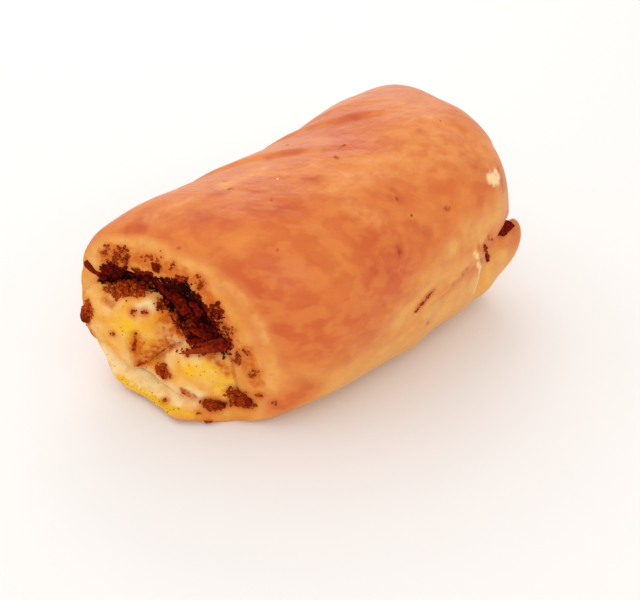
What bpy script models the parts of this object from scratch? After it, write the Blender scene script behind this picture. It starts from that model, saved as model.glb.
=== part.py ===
"""Curry bun: a sheet of dough rolled up round a dry curry filling and baked.

Metres, +Z up. The roll lies along Y with its open front end at -Y, its outer edge laps
over the right flank (+X), and the origin is under the middle of its underside.
"""
import math

import bmesh
import bpy
import numpy as np

MM = 0.001
FULL_TURN = 2.0 * math.pi

# Driving dimensions, in millimetres.
FRONT_Y = -50.0            # the front face's plane, where it crosses X = 0
REAR_Y = 49.0              # the rear face's plane
FRONT_SLANT = 0.37         # how far the front face runs back for each mm to the right
SLANT_REACH = 54.0         # the slant dies out over this length
REAR_SLANT = 0.10          # how far the rear face runs forward for each mm to the right
FRONT_SHOULDER = 17.0      # length over which the front end rounds in
REAR_SHOULDER = 17.0
FRONT_ROUNDNESS = 2.3
REAR_ROUNDNESS = 2.7
SQUARENESS_TOP = 2.45      # superellipse exponents of the section
SQUARENESS_BASE = 3.5
MIDDLE = (-4.8, 23.0)      # centre of the front face, X and Z
SINK = 0.7                 # the underside is worn flat this far up
ORIGIN = (0.11, -1.65)     # the middle of the underside, in the coordinates used here

# Sections along the roll: place along Y, middle X, half width, height.
STATIONS = (
    (-50.0, -1.0, 31.8, 54.5),
    (-34.0, -0.3, 32.6, 56.3),
    (-20.0, 0.0, 32.9, 57.4),
    (-6.0, 0.3, 32.6, 59.3),
    (8.0, 0.4, 32.8, 61.8),
    (22.0, 0.2, 33.4, 64.2),
    (34.0, 0.0, 33.4, 65.0),
    (50.0, -0.4, 32.6, 64.5),
)

# Outline of the front face, X and Z, from the lower right round over the top.
FACE_OUTLINE = (
    (20.3, 3.0), (22.7, 11.3), (22.7, 19.8), (19.9, 28.3), (16.1, 35.9), (10.4, 41.5),
    (3.0, 45.8), (-7.5, 47.6), (-15.1, 47.4), (-22.0, 45.0), (-26.8, 41.5), (-29.2, 36.0),
    (-29.6, 29.0), (-29.8, 22.0), (-27.0, 15.5), (-22.0, 9.0), (-19.0, 2.5), (-15.0, 0.4),
    (-7.0, 0.0), (1.0, 0.0), (9.0, 0.0), (16.5, 0.5),
)
# Inner edge of the outer turn of dough, and outer edge of the inner dough, on that face.
RIM_EDGE = (
    (14.4, 8.5), (13.3, 13.0), (11.6, 19.4), (9.6, 26.0), (7.0, 31.0), (2.5, 34.6),
    (-3.0, 36.6), (-10.0, 37.6), (-17.0, 37.8), (-22.5, 35.5), (-26.0, 30.0), (-26.3, 24.0),
    (-22.5, 16.5), (-16.0, 9.3), (-10.0, 7.6), (-2.0, 6.4), (6.0, 6.0), (11.5, 6.2),
)
INNER_EDGE = (
    (13.2, 9.5), (11.5, 13.5), (10.0, 16.5), (6.8, 20.0), (3.6, 22.5), (2.0, 25.5),
    (-1.0, 29.5), (-7.0, 32.5), (-14.0, 33.3), (-20.5, 32.0), (-25.0, 28.5), (-25.8, 24.0),
    (-22.0, 17.0), (-15.6, 9.8), (-9.8, 8.1), (-2.0, 7.0), (6.0, 6.6), (11.0, 7.0),
)
THINNEST_RIM = 1.5
THINNEST_CREASE = 0.3

# By angle round the face in degrees, from the right over the top: how far the rim swells
# forward, and how deep the gap between rim and inner dough is.
RIM_SWELL = (
    (0, 2.2), (45, 2.6), (90, 2.8), (135, 2.8), (165, 3.0), (185, 3.6), (205, 4.8),
    (225, 6.2), (245, 7.6), (268, 8.8), (285, 10.6), (297, 12.0), (307, 9.5), (320, 3.4),
    (340, 2.2),
)
GAP_DEPTH = (
    (0, 13.0), (60, 14.0), (110, 13.0), (135, 11.0), (155, 5.0), (175, 1.3), (230, 1.4),
    (270, 1.5), (300, 2.5), (325, 5.0), (345, 10.0),
)
NOTCH_ANGLE = 312.0        # where the outer edge of the sheet meets the base, in degrees
NOTCH_WIDTH = 4.5
NOTCH_DEPTH = 2.8

# The lap on the right flank: its height by place along Y, and how deep it steps in.
LAP_LINE = (
    (-60.0, -3.0), (-40.0, 0.0), (-20.0, 6.0), (-8.0, 12.0), (2.0, 18.0), (11.0, 22.5),
    (21.0, 26.5), (27.0, 29.0), (32.5, 31.7), (38.0, 35.5), (44.0, 39.0), (55.0, 43.0),
)
LAP_STEP = 2.4
LAP_WIDTH = 2.5            # the step runs out over this height
LAP_START = (-8.0, 22.0)   # the lap opens from here, over this length
LAP_REAR_STEP = 4.2        # by the rear end the lap steps in this much more
LAP_REAR = (30.0, 14.0)    # which starts here, over this length
LAP_INNER = 0.85           # the step is gone at this share of the way out to the skin

# The two folds of inner dough at the front. Outline: X and Z on the front face and how far
# forward the outline lies there; crown: how far the fold's middle stands before that.
UPPER_FOLD = (
    (-29.6, 27.4, 0.0), (-30.6, 22.1, 0.0), (-29.2, 15.8, 1.0), (-26.6, 13.8, 2.0),
    (-23.7, 13.1, 2.5), (-19.2, 12.0, 3.5), (-14.6, 10.3, 4.0), (-10.3, 9.8, 4.5),
    (-6.3, 15.0, 4.0), (-2.9, 19.4, 3.0), (1.4, 24.2, 1.5), (-0.6, 27.0, 0.0),
    (-4.0, 30.6, 0.0), (-8.1, 33.2, 0.0), (-12.0, 34.4, 0.0), (-17.2, 33.8, 0.0),
    (-22.7, 32.0, 0.0), (-27.0, 30.6, 0.0),
)
LOWER_FOLD = (
    (-10.8, 9.4, 2.0), (-6.9, 15.2, 2.0), (-4.3, 19.1, 1.5), (0.4, 22.6, 0.5),
    (4.3, 22.8, 0.0), (8.5, 21.7, 0.0), (12.6, 19.4, -0.5), (14.6, 14.0, -0.5),
    (14.6, 9.1, -0.5), (12.7, 5.1, 0.0), (9.5, 3.4, 1.0), (6.9, 2.6, 2.0),
    (5.0, 4.1, 3.0), (1.3, 5.2, 3.5), (-3.9, 7.4, 3.5), (-7.8, 8.6, 3.0),
)
UPPER_CROWN = 5.6
LOWER_CROWN = 5.0
FOLD_ROUNDNESS = (2.4, 0.8)  # exponents of a fold's profile
FOLD_END = 1.12            # a fold runs out at this share of its outline's reach
FOLD_RUNOUT = 0.24         # over this share of it
CORE_LEVEL = -1.5          # the inner dough between and beside the folds

# The rear end: as the front, but plainer.
REAR_SWELL = 2.0
REAR_GAP_DEPTH = 7.0
REAR_WIDTH_LEFT = 0.70     # share of the section's width and height left at the rear face
REAR_HEIGHT_LEFT = 0.74
# The rear's lobe: centre X and Z, half width, half height, crown, and how far it is set back.
REAR_LOBE = (-10.0, 24.0, 19.0, 16.0, 6.0, 4.0)

# The lower layer's end, a thick tongue that stands out at the rear: a flat slab whose
# right edge curls up.
TONGUE_START = 12.0
TONGUE_LENGTH = 49.0
TONGUE_MIDDLE_X = 4.5
TONGUE_HALF_WIDTH = 27.0
TONGUE_HALF_THICKNESS = 5.5
TONGUE_CURL_FROM = 2.4     # the slab curls up this far right of its middle
TONGUE_CURL_RADIUS = 14.5
TONGUE_STRAIGHT = 0.50     # share of the length before it tapers
TONGUE_TIP_SHIFT = 14.0    # the tip lies this far right of the middle
TONGUE_BLUNTNESS = 5.0     # exponent of the taper

# The filling's gap runs through the roll between these angles, in degrees.
GAP_START = -30.0
GAP_END = 156.0
LEDGE = 0.8                # the through cut is this much narrower than the gap, each side
THINNEST_HALF_CUT = 1.25   # half the through cut's width where the gap is narrowest
CLEARANCE = 0.65           # air between filling and dough
GAP_RADIUS = 18.0          # the gap's usual distance from the face's middle
CUT_OVERLAP = 2.0          # the through cut starts this far in front of the gap's floor

# How deep the filling lies behind the front face by angle: crumbs stand nearly flush
# at the upper left, as a strip on the lower lobe, and as a clump at the lower right.
FILLING_DEPTH = (
    (-30, 3.5), (-16, 3.0), (-6, 3.0), (6, 4.5), (20, 7.0), (50, 7.0),
    (80, 6.0), (98, 4.0), (112, 1.6), (128, 1.2), (142, 2.4), (156, 5.0),
)
FILLING_REAR_DEPTH = 4.0

# Fineness of the surfaces.
AROUND = 72
FRONT_STEPS = (5, 2, 1, 2, 13)   # rim, outer wall, floor, inner wall, lobes
REAR_STEPS = (4, 2, 1, 2, 5)
CAP_BOUNDS = (0.0, 0.30, 0.36, 0.41, 0.48, 1.0)
SIDE_STEPS = 20
END_CROWDING = 0.055
GAP_AROUND = 24
GAP_ALONG = 20
GAP_CROWDING = 0.10
TONGUE_AROUND = 28
TONGUE_ALONG = 14


def spline(x, knots):
    """A smooth curve through knots of (place, value), read at the places x."""
    places = np.array([k[0] for k in knots], dtype=float)
    values = np.array([k[1] for k in knots], dtype=float)
    slopes = np.gradient(values, places)
    i = np.clip(np.searchsorted(places, x) - 1, 0, len(places) - 2)
    span = places[i + 1] - places[i]
    t = np.clip((x - places[i]) / span, 0.0, 1.0)
    rise = 3.0 * t**2 - 2.0 * t**3
    bend_in = (t**3 - 2.0 * t**2 + t) * span * slopes[i]
    bend_out = (t**3 - t**2) * span * slopes[i + 1]
    return values[i] + (values[i + 1] - values[i]) * rise + bend_in + bend_out


def smooth(t):
    """0 to 1 with level ends."""
    t = np.clip(t, 0.0, 1.0)
    return t * t * (3.0 - 2.0 * t)


def by_angle(angle, table):
    """A value given at some angles in degrees, read smoothly at any angle in radians."""
    first, last = table[:2], table[-2:]
    knots = [(a - 360, v) for a, v in last] + list(table) + [(a + 360, v) for a, v in first]
    return spline(np.degrees(angle) % 360.0, knots)


def outline_radius(angle, points):
    """Distance from the face's middle to a closed outline, at each angle."""
    polar = []
    for x, z in points:
        dx, dz = x - MIDDLE[0], z - MIDDLE[1]
        polar.append((math.degrees(math.atan2(dz, dx)) % 360.0, math.hypot(dx, dz)))
    return by_angle(angle, sorted(polar))


def section_middle(y):
    places = [s[0] for s in STATIONS]
    cx = spline(y, list(zip(places, [s[1] for s in STATIONS])))
    height = spline(y, list(zip(places, [s[3] for s in STATIONS])))
    return cx, height / 2.0


def body_section(angle, y, lap):
    """The roll's own section away from its ends: a superellipse, squarer below,
    that steps in under the lap on the right flank, by a share given as lap."""
    cx, cz = section_middle(y)
    half = spline(y, [(s[0], s[2]) for s in STATIONS])
    power = SQUARENESS_TOP + (SQUARENESS_BASE - SQUARENESS_TOP) * smooth(-np.sin(angle) / 0.6)
    radius = (np.abs(np.cos(angle) / half) ** power + np.abs(np.sin(angle) / cz) ** power) ** (-1.0 / power)
    z = cz + radius * np.sin(angle)
    below_lap = smooth((spline(y, LAP_LINE) - z) / LAP_WIDTH + 0.3)
    on_flank = smooth((np.cos(angle) - 0.1) / 0.3) * smooth((z + 4.0) / 12.0)
    step = LAP_STEP * smooth((y - LAP_START[0]) / LAP_START[1])
    step = step + LAP_REAR_STEP * smooth((y - LAP_REAR[0]) / LAP_REAR[1])
    radius = radius - lap * step * below_lap * on_flank
    return cx + radius * np.cos(angle), cz + radius * np.sin(angle)


def round_in(t, roundness):
    """0 at the face, 1 where the shoulder has become the side."""
    return (1.0 - (1.0 - np.clip(t, 0.0, 1.0)) ** roundness) ** (1.0 / roundness)


def roll_section(angle, y, share=1.0):
    """A point at a share of the way from the section's middle to the roll's skin."""
    lap = smooth((share - LAP_INNER) / (1.0 - LAP_INNER))
    body_x, body_z = body_section(angle, y, lap)
    middle_x, middle_z = section_middle(y)
    face = outline_radius(angle, FACE_OUTLINE)
    front = round_in((y - FRONT_Y) / FRONT_SHOULDER, FRONT_ROUNDNESS)
    face_x, face_z = MIDDLE[0] + face * np.cos(angle), MIDDLE[1] + face * np.sin(angle)
    x, z = face_x + (body_x - face_x) * front, face_z + (body_z - face_z) * front
    mx, mz = MIDDLE[0] + (middle_x - MIDDLE[0]) * front, MIDDLE[1] + (middle_z - MIDDLE[1]) * front
    rear = round_in((REAR_Y - y) / REAR_SHOULDER, REAR_ROUNDNESS)
    width = REAR_WIDTH_LEFT + (1.0 - REAR_WIDTH_LEFT) * rear
    height = REAR_HEIGHT_LEFT + (1.0 - REAR_HEIGHT_LEFT) * rear
    lift = 2.0 * (1.0 - rear)
    x, z = (x + 1.0) * width - 1.0, z * height + lift
    mx, mz = (mx + 1.0) * width - 1.0, mz * height + lift
    return mx + (x - mx) * share, mz + (z - mz) * share


def place(x, y, z):
    """Lean the roll's ends, the front face back to the right and the rear one forward,
    and flatten the underside."""
    lean_front = FRONT_SLANT * smooth((8.0 - y) / SLANT_REACH)
    lean_rear = REAR_SLANT * smooth((y - 10.0) / 35.0)
    return np.stack([x, y + (lean_front - lean_rear) * x, np.maximum(z - SINK, 0.0)], axis=-1)


def dome(x, z, lobe):
    cx, cz, half_x, half_z, crown, set_back = lobe
    return crown * np.sqrt(np.clip(1.0 - ((x - cx) / half_x) ** 2 - ((z - cz) / half_z) ** 2, 0.0, None)) - set_back


def fold_height(x, z, outline, crown):
    """How far a fold stands forward: a cushion over its outline, nothing outside it."""
    middle_x, middle_z = np.mean([p[0] for p in outline]), np.mean([p[1] for p in outline])
    polar = []
    for px, pz, forward in outline:
        turn = math.degrees(math.atan2(pz - middle_z, px - middle_x)) % 360.0
        polar.append((turn, math.hypot(px - middle_x, pz - middle_z), forward))
    polar.sort()
    angle = np.arctan2(z - middle_z, x - middle_x)
    reach = by_angle(angle, [(a, r) for a, r, _ in polar])
    edge = by_angle(angle, [(a, f) for a, _, f in polar])
    level = np.mean([f for _, _, f in polar])
    distance = np.hypot(x - middle_x, z - middle_z) / reach
    share = np.clip(distance, 0.0, 1.0)
    cushion = (1.0 - share ** FOLD_ROUNDNESS[0]) ** FOLD_ROUNDNESS[1]
    height = level + (edge - level) * share + crown * cushion
    return CORE_LEVEL + (height - CORE_LEVEL) * smooth((FOLD_END - distance) / FOLD_RUNOUT)


def front_lobes(x, z):
    """The inner dough's front: two folds that press on each other."""
    upper = fold_height(x, z, UPPER_FOLD, UPPER_CROWN)
    return np.maximum(upper, fold_height(x, z, LOWER_FOLD, LOWER_CROWN))


def rear_lobes(x, z):
    return dome(x, z, REAR_LOBE)


def rim_share(angle):
    face = outline_radius(angle, FACE_OUTLINE)
    return np.minimum(outline_radius(angle, RIM_EDGE), face - THINNEST_RIM) / face


def inner_share(angle):
    face = outline_radius(angle, FACE_OUTLINE)
    return np.minimum(outline_radius(angle, INNER_EDGE) / face, rim_share(angle) - THINNEST_CREASE / face)


def end_cap(angle, v, end_y, inward, swell, depth, lobes):
    """An end of the roll, from its outline at v = 0 to its middle at v = 1: over the rim,
    down the gap's outer wall, over its floor, up the inner wall and over the lobes.
    Depths are measured from the face's plane into the roll; inward is the way in."""
    rim, inner = rim_share(angle), inner_share(angle)
    rim_top = swell * math.sin(math.pi * 0.92) ** 0.6
    edge_x, edge_z = roll_section(angle, end_y + 0.0 * angle, inner * 0.94)
    edge = lobes(edge_x, edge_z)
    t = [np.clip((v - a) / (b - a), 0.0, 1.0) for a, b in zip(CAP_BOUNDS, CAP_BOUNDS[1:])]
    over_rim = swell * np.sin(np.pi * 0.92 * t[0]) ** 0.6
    down = rim_top - (rim_top + depth) * t[1]
    up = -depth + (edge + depth) * np.sin(t[3] * np.pi / 2.0)
    share = 1.0 + (rim - 1.0) * t[0] + (inner - rim) * t[2] - 0.06 * inner * t[3] - 0.94 * inner * t[4]
    forward = np.where(v < CAP_BOUNDS[1], over_rim, np.where(v < CAP_BOUNDS[2], down, -depth))
    forward = np.where(v >= CAP_BOUNDS[3], up, forward)
    x, z = roll_section(angle, end_y + inward * np.maximum(-forward, 0.0), share)
    forward = np.where(v >= CAP_BOUNDS[4], lobes(x, z), forward)
    return place(x, end_y - inward * forward, z)


def cap_parameters(steps):
    """The places along a cap's profile, from the number of steps in each of its parts."""
    places = []
    for count, a, b in zip(steps, CAP_BOUNDS, CAP_BOUNDS[1:]):
        places += [a + (b - a) * i / count for i in range(count)]
    return np.array(places + [1.0])[None, :]


def roll_surface():
    """The whole skin as a grid: rows run round the roll, columns from end to end."""
    angle = np.linspace(0.0, FULL_TURN, AROUND, endpoint=False)[:, None]
    v = cap_parameters(FRONT_STEPS)
    notch = np.exp(-(((np.degrees(angle) - NOTCH_ANGLE) / NOTCH_WIDTH) ** 2))
    swell = by_angle(angle, RIM_SWELL) - NOTCH_DEPTH * notch
    front = end_cap(angle, v, FRONT_Y, 1.0, swell, by_angle(angle, GAP_DEPTH), front_lobes)
    rear_depth = REAR_GAP_DEPTH * np.clip(by_angle(angle, GAP_DEPTH) / 13.0, 0.1, 1.0)
    v = cap_parameters(REAR_STEPS)
    rear = end_cap(angle, v, REAR_Y, -1.0, REAR_SWELL + 0.0 * angle, rear_depth, rear_lobes)
    t = np.linspace(0.0, 1.0, SIDE_STEPS + 1)
    y = FRONT_Y + (REAR_Y - FRONT_Y) * (t - END_CROWDING * np.sin(FULL_TURN * t))
    x, z = roll_section(angle, y[None, :] + 0.0 * angle)
    side = place(x, y[None, :] + 0.0 * angle, z)
    return np.concatenate([front[:, ::-1], side[:, 1:-1], rear], axis=1)


def gap_surface(clearance, depth_front, depth_rear):
    """The band between rim and inner dough as a grid: rows along the band, columns once
    round its cross-section, back along the outer wall and forward along the inner one.
    It stays a ledge and the clearance away from the gap's own walls."""
    t = np.linspace(0.0, 1.0, GAP_AROUND + 1)[:, None]
    short = np.degrees(clearance / GAP_RADIUS)
    angle = np.radians(np.clip(GAP_START + (GAP_END - GAP_START) * t, GAP_START + short, GAP_END - short))
    s = np.linspace(0.0, 1.0, GAP_ALONG + 1)[None, :]
    s = s - GAP_CROWDING * np.sin(FULL_TURN * s)
    front, rear = FRONT_Y + depth_front(angle), REAR_Y - depth_rear(angle)
    y = front + (rear - front) * s
    rim, inner = rim_share(angle), inner_share(angle)
    middle = (rim + inner) / 2.0
    walls = []
    for share in (rim, inner):
        x, z = roll_section(angle, y, share)
        middle_x, middle_z = roll_section(angle, y, middle)
        reach = np.hypot(x - middle_x, z - middle_z)
        half = np.maximum(reach - LEDGE, THINNEST_HALF_CUT) - clearance
        keep = half / np.maximum(reach, 0.01)
        walls.append(place(middle_x + (x - middle_x) * keep, y, middle_z + (z - middle_z) * keep))
    return np.concatenate([walls[0], walls[1][:, ::-1]], axis=1)


def tongue_surface():
    """The lower layer's end: an elliptical slab that rounds off to a tip. Its width is
    laid along a line that runs level and then curls up round an arc on the right."""
    angle = np.linspace(0.0, FULL_TURN, TONGUE_AROUND, endpoint=False)[:, None]
    t = 1.0 - (1.0 - np.linspace(0.0, 1.0, TONGUE_ALONG + 1)[None, :]) ** 1.6
    taper = np.clip((t - TONGUE_STRAIGHT) / (1.0 - TONGUE_STRAIGHT), 0.0, 1.0)
    size = np.maximum(1.0 - taper**TONGUE_BLUNTNESS, 0.0) ** 0.5
    along = TONGUE_TIP_SHIFT * taper**1.5 + TONGUE_HALF_WIDTH * size * np.cos(angle)
    outward = -TONGUE_HALF_THICKNESS * size**0.6 * np.sin(angle)
    turn = np.maximum(along - TONGUE_CURL_FROM, 0.0) / TONGUE_CURL_RADIUS
    radius = TONGUE_CURL_RADIUS + outward
    x = TONGUE_MIDDLE_X + np.minimum(along, TONGUE_CURL_FROM) + radius * np.sin(turn)
    z = TONGUE_HALF_THICKNESS + TONGUE_CURL_RADIUS - radius * np.cos(turn)
    y = TONGUE_START + TONGUE_LENGTH * t + 0.0 * angle
    return np.stack([x, y, np.maximum(z - SINK, 0.0)], axis=-1)


def closed_mesh(name, grid, wrap_rows):
    """Make a closed mesh of a grid. With wrap_rows the rows close on themselves and the
    first and last columns shrink to one point each; otherwise the columns close and the
    first and last rows are filled."""
    if wrap_rows:
        grid = grid.transpose(1, 0, 2)
    grid = (grid - np.array([ORIGIN[0], ORIGIN[1], 0.0])) * MM
    rings, count = grid.shape[0], grid.shape[1]
    mesh = bmesh.new()
    rows = []
    for i, ring in enumerate(grid):
        if wrap_rows and i in (0, rings - 1):
            rows.append([mesh.verts.new(ring.mean(axis=0))])
        else:
            rows.append([mesh.verts.new(p) for p in ring])
    for a, b in zip(rows, rows[1:]):
        for i in range(count):
            j = (i + 1) % count
            corners = [a[i % len(a)], a[j % len(a)], b[j % len(b)], b[i % len(b)]]
            mesh.faces.new(list(dict.fromkeys(corners)))
    if not wrap_rows:
        for row in (rows[0], rows[-1]):
            half = count // 2
            for i in range(half - 1):
                mesh.faces.new([row[i], row[i + 1], row[count - 2 - i], row[count - 1 - i]])
    bmesh.ops.recalc_face_normals(mesh, faces=mesh.faces)
    data = bpy.data.meshes.new(name)
    mesh.to_mesh(data)
    mesh.free()
    data.shade_smooth()
    obj = bpy.data.objects.new(name, data)
    bpy.context.scene.collection.objects.link(obj)
    return obj


def give_material(obj, name, color, roughness):
    material = bpy.data.materials.new(name)
    material.use_nodes = True
    shader = material.node_tree.nodes["Principled BSDF"]
    shader.inputs["Base Color"].default_value = (*color, 1.0)
    shader.inputs["Roughness"].default_value = roughness
    shader.inputs["Metallic"].default_value = 0.0
    obj.data.materials.append(material)


def apply_boolean(obj, other, operation):
    modifier = obj.modifiers.new(operation.title(), "BOOLEAN")
    modifier.operation = operation
    modifier.solver = "EXACT"
    modifier.object = other
    depsgraph = bpy.context.evaluated_depsgraph_get()
    data = bpy.data.meshes.new_from_object(obj.evaluated_get(depsgraph))
    obj.modifiers.clear()
    obj.data = data
    bpy.data.objects.remove(other)


def make_dough():
    """Outer turn, inner lobes and the tongue at the rear, as one baked piece."""
    dough = closed_mesh("dough_roll", roll_surface(), True)
    apply_boolean(dough, closed_mesh("tongue", tongue_surface(), True), "UNION")
    cut = gap_surface(
        0.0,
        lambda angle: np.maximum(by_angle(angle, GAP_DEPTH) - CUT_OVERLAP, 0.5),
        lambda angle: np.maximum(
            REAR_GAP_DEPTH * np.clip(by_angle(angle, GAP_DEPTH) / 13.0, 0.1, 1.0) - CUT_OVERLAP, 0.3),
    )
    apply_boolean(dough, closed_mesh("gap", cut, False), "DIFFERENCE")
    give_material(dough, "baked_dough", (0.72, 0.33, 0.12), 0.45)
    return dough


def make_filling():
    """Dry curry crumbs, packed in the gap from end to end."""
    band = gap_surface(
        CLEARANCE,
        lambda angle: spline(np.degrees(angle), FILLING_DEPTH),
        lambda angle: FILLING_REAR_DEPTH + 0.0 * angle,
    )
    filling = closed_mesh("curry_filling", band, False)
    give_material(filling, "curry_crumb", (0.20, 0.045, 0.012), 0.8)
    return filling


def main():
    for obj in list(bpy.data.objects):
        bpy.data.objects.remove(obj)
    make_dough()
    make_filling()


main()
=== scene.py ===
import math

import bpy
import numpy as np
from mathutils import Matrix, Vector
from mathutils.bvhtree import BVHTree


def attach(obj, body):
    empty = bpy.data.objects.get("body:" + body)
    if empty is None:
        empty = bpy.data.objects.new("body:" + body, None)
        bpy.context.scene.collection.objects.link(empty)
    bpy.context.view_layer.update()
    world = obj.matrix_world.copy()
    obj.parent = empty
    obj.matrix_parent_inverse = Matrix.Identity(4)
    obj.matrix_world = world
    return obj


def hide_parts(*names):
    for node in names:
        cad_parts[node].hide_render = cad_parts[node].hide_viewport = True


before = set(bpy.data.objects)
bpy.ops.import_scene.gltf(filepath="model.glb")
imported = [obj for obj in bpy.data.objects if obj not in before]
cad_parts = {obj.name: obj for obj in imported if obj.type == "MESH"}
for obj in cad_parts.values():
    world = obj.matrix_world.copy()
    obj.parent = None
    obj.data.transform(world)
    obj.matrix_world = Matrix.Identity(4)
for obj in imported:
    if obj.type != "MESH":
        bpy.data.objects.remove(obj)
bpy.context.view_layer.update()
mm = 0.001
fullTurn = 2.0 * math.pi
diagonal = math.sqrt(0.5)


def smooth(t):
    # 0 to 1 with level ends: 3t^2 - 2t^3
    t = np.clip(t, 0.0, 1.0)
    return t * t * (3.0 - 2.0 * t)


def rise(x, start, end):
    # 0 at the start and before it, 1 at the end and past it, smooth between
    return smooth((x - start) / (end - start))


def stepUp(d, width):
    # 0 to 1 across a width, with its middle where d is 0
    return smooth(d / width + 0.5)


def bell(d, width):
    # 1 in the middle, falling off as exp(-(d / width)^2)
    return np.exp(-((d / width) ** 2))


def spline(x, knots):
    # smooth curve through (place, value) knots, cubic between them with centred slopes
    places = np.array([k[0] for k in knots], dtype=float)
    values = np.array([k[1] for k in knots], dtype=float)
    slopes = np.gradient(values, places)
    i = np.clip(np.searchsorted(places, x) - 1, 0, len(places) - 2)
    span = places[i + 1] - places[i]
    t = np.clip((x - places[i]) / span, 0.0, 1.0)
    blend = 3.0 * t**2 - 2.0 * t**3
    bendIn = (t**3 - 2.0 * t**2 + t) * span * slopes[i]
    bendOut = (t**3 - t**2) * span * slopes[i + 1]
    return values[i] + (values[i + 1] - values[i]) * blend + bendIn + bendOut


def byAngle(angle, table):
    # a value given at some angles in degrees, read at angles in radians, round the clock
    first, last = table[:2], table[-2:]
    knots = [(a - 360, v) for a, v in last] + list(table) + [(a + 360, v) for a, v in first]
    return spline(np.degrees(angle) % 360.0, knots)


latticePrimes = np.array([73856093, 19349663, 83492791])


def lumps(points, size, seed):
    # value noise: random heights on a lattice of the given size, blended by 3t^2 - 2t^3, -1 to 1
    q = points / size + 1000.0
    cell = np.floor(q).astype(np.int64)
    f = q - cell
    f = f * f * (3.0 - 2.0 * f)
    total = np.zeros(points.shape[:-1])
    for corner in range(8):
        step = np.array([corner & 1, corner >> 1 & 1, corner >> 2 & 1])
        # each lattice point's own random 16 bits, from primes, shifts and exclusive or
        h = np.bitwise_xor.reduce((cell + step) * latticePrimes, axis=-1) ^ (seed * 2654435761)
        h = (h ^ (h >> 13)) * 1274126177 & 0xFFFFFFFF
        h = (h ^ (h >> 16)) & 0xFFFF
        weight = np.prod(np.where(step, f, 1.0 - f), axis=-1)
        total += weight * (h / 32767.5 - 1.0)
    return total


def waves(points, size, *octaves):
    # lumps of several sizes added up: each octave is its share, its part of the size, and its seed
    return sum(share * lumps(points, size * part, seed) for share, part, seed in octaves)


def surfaceNormals(grid):
    # cross product of the grid's two directions; rows wrap round
    along = np.gradient(grid, axis=1)
    around = (np.roll(grid, -1, axis=0) - np.roll(grid, 1, axis=0)) / 2.0
    n = np.cross(along, around)
    return n / np.maximum(np.linalg.norm(n, axis=-1, keepdims=True), 1e-9)


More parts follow.
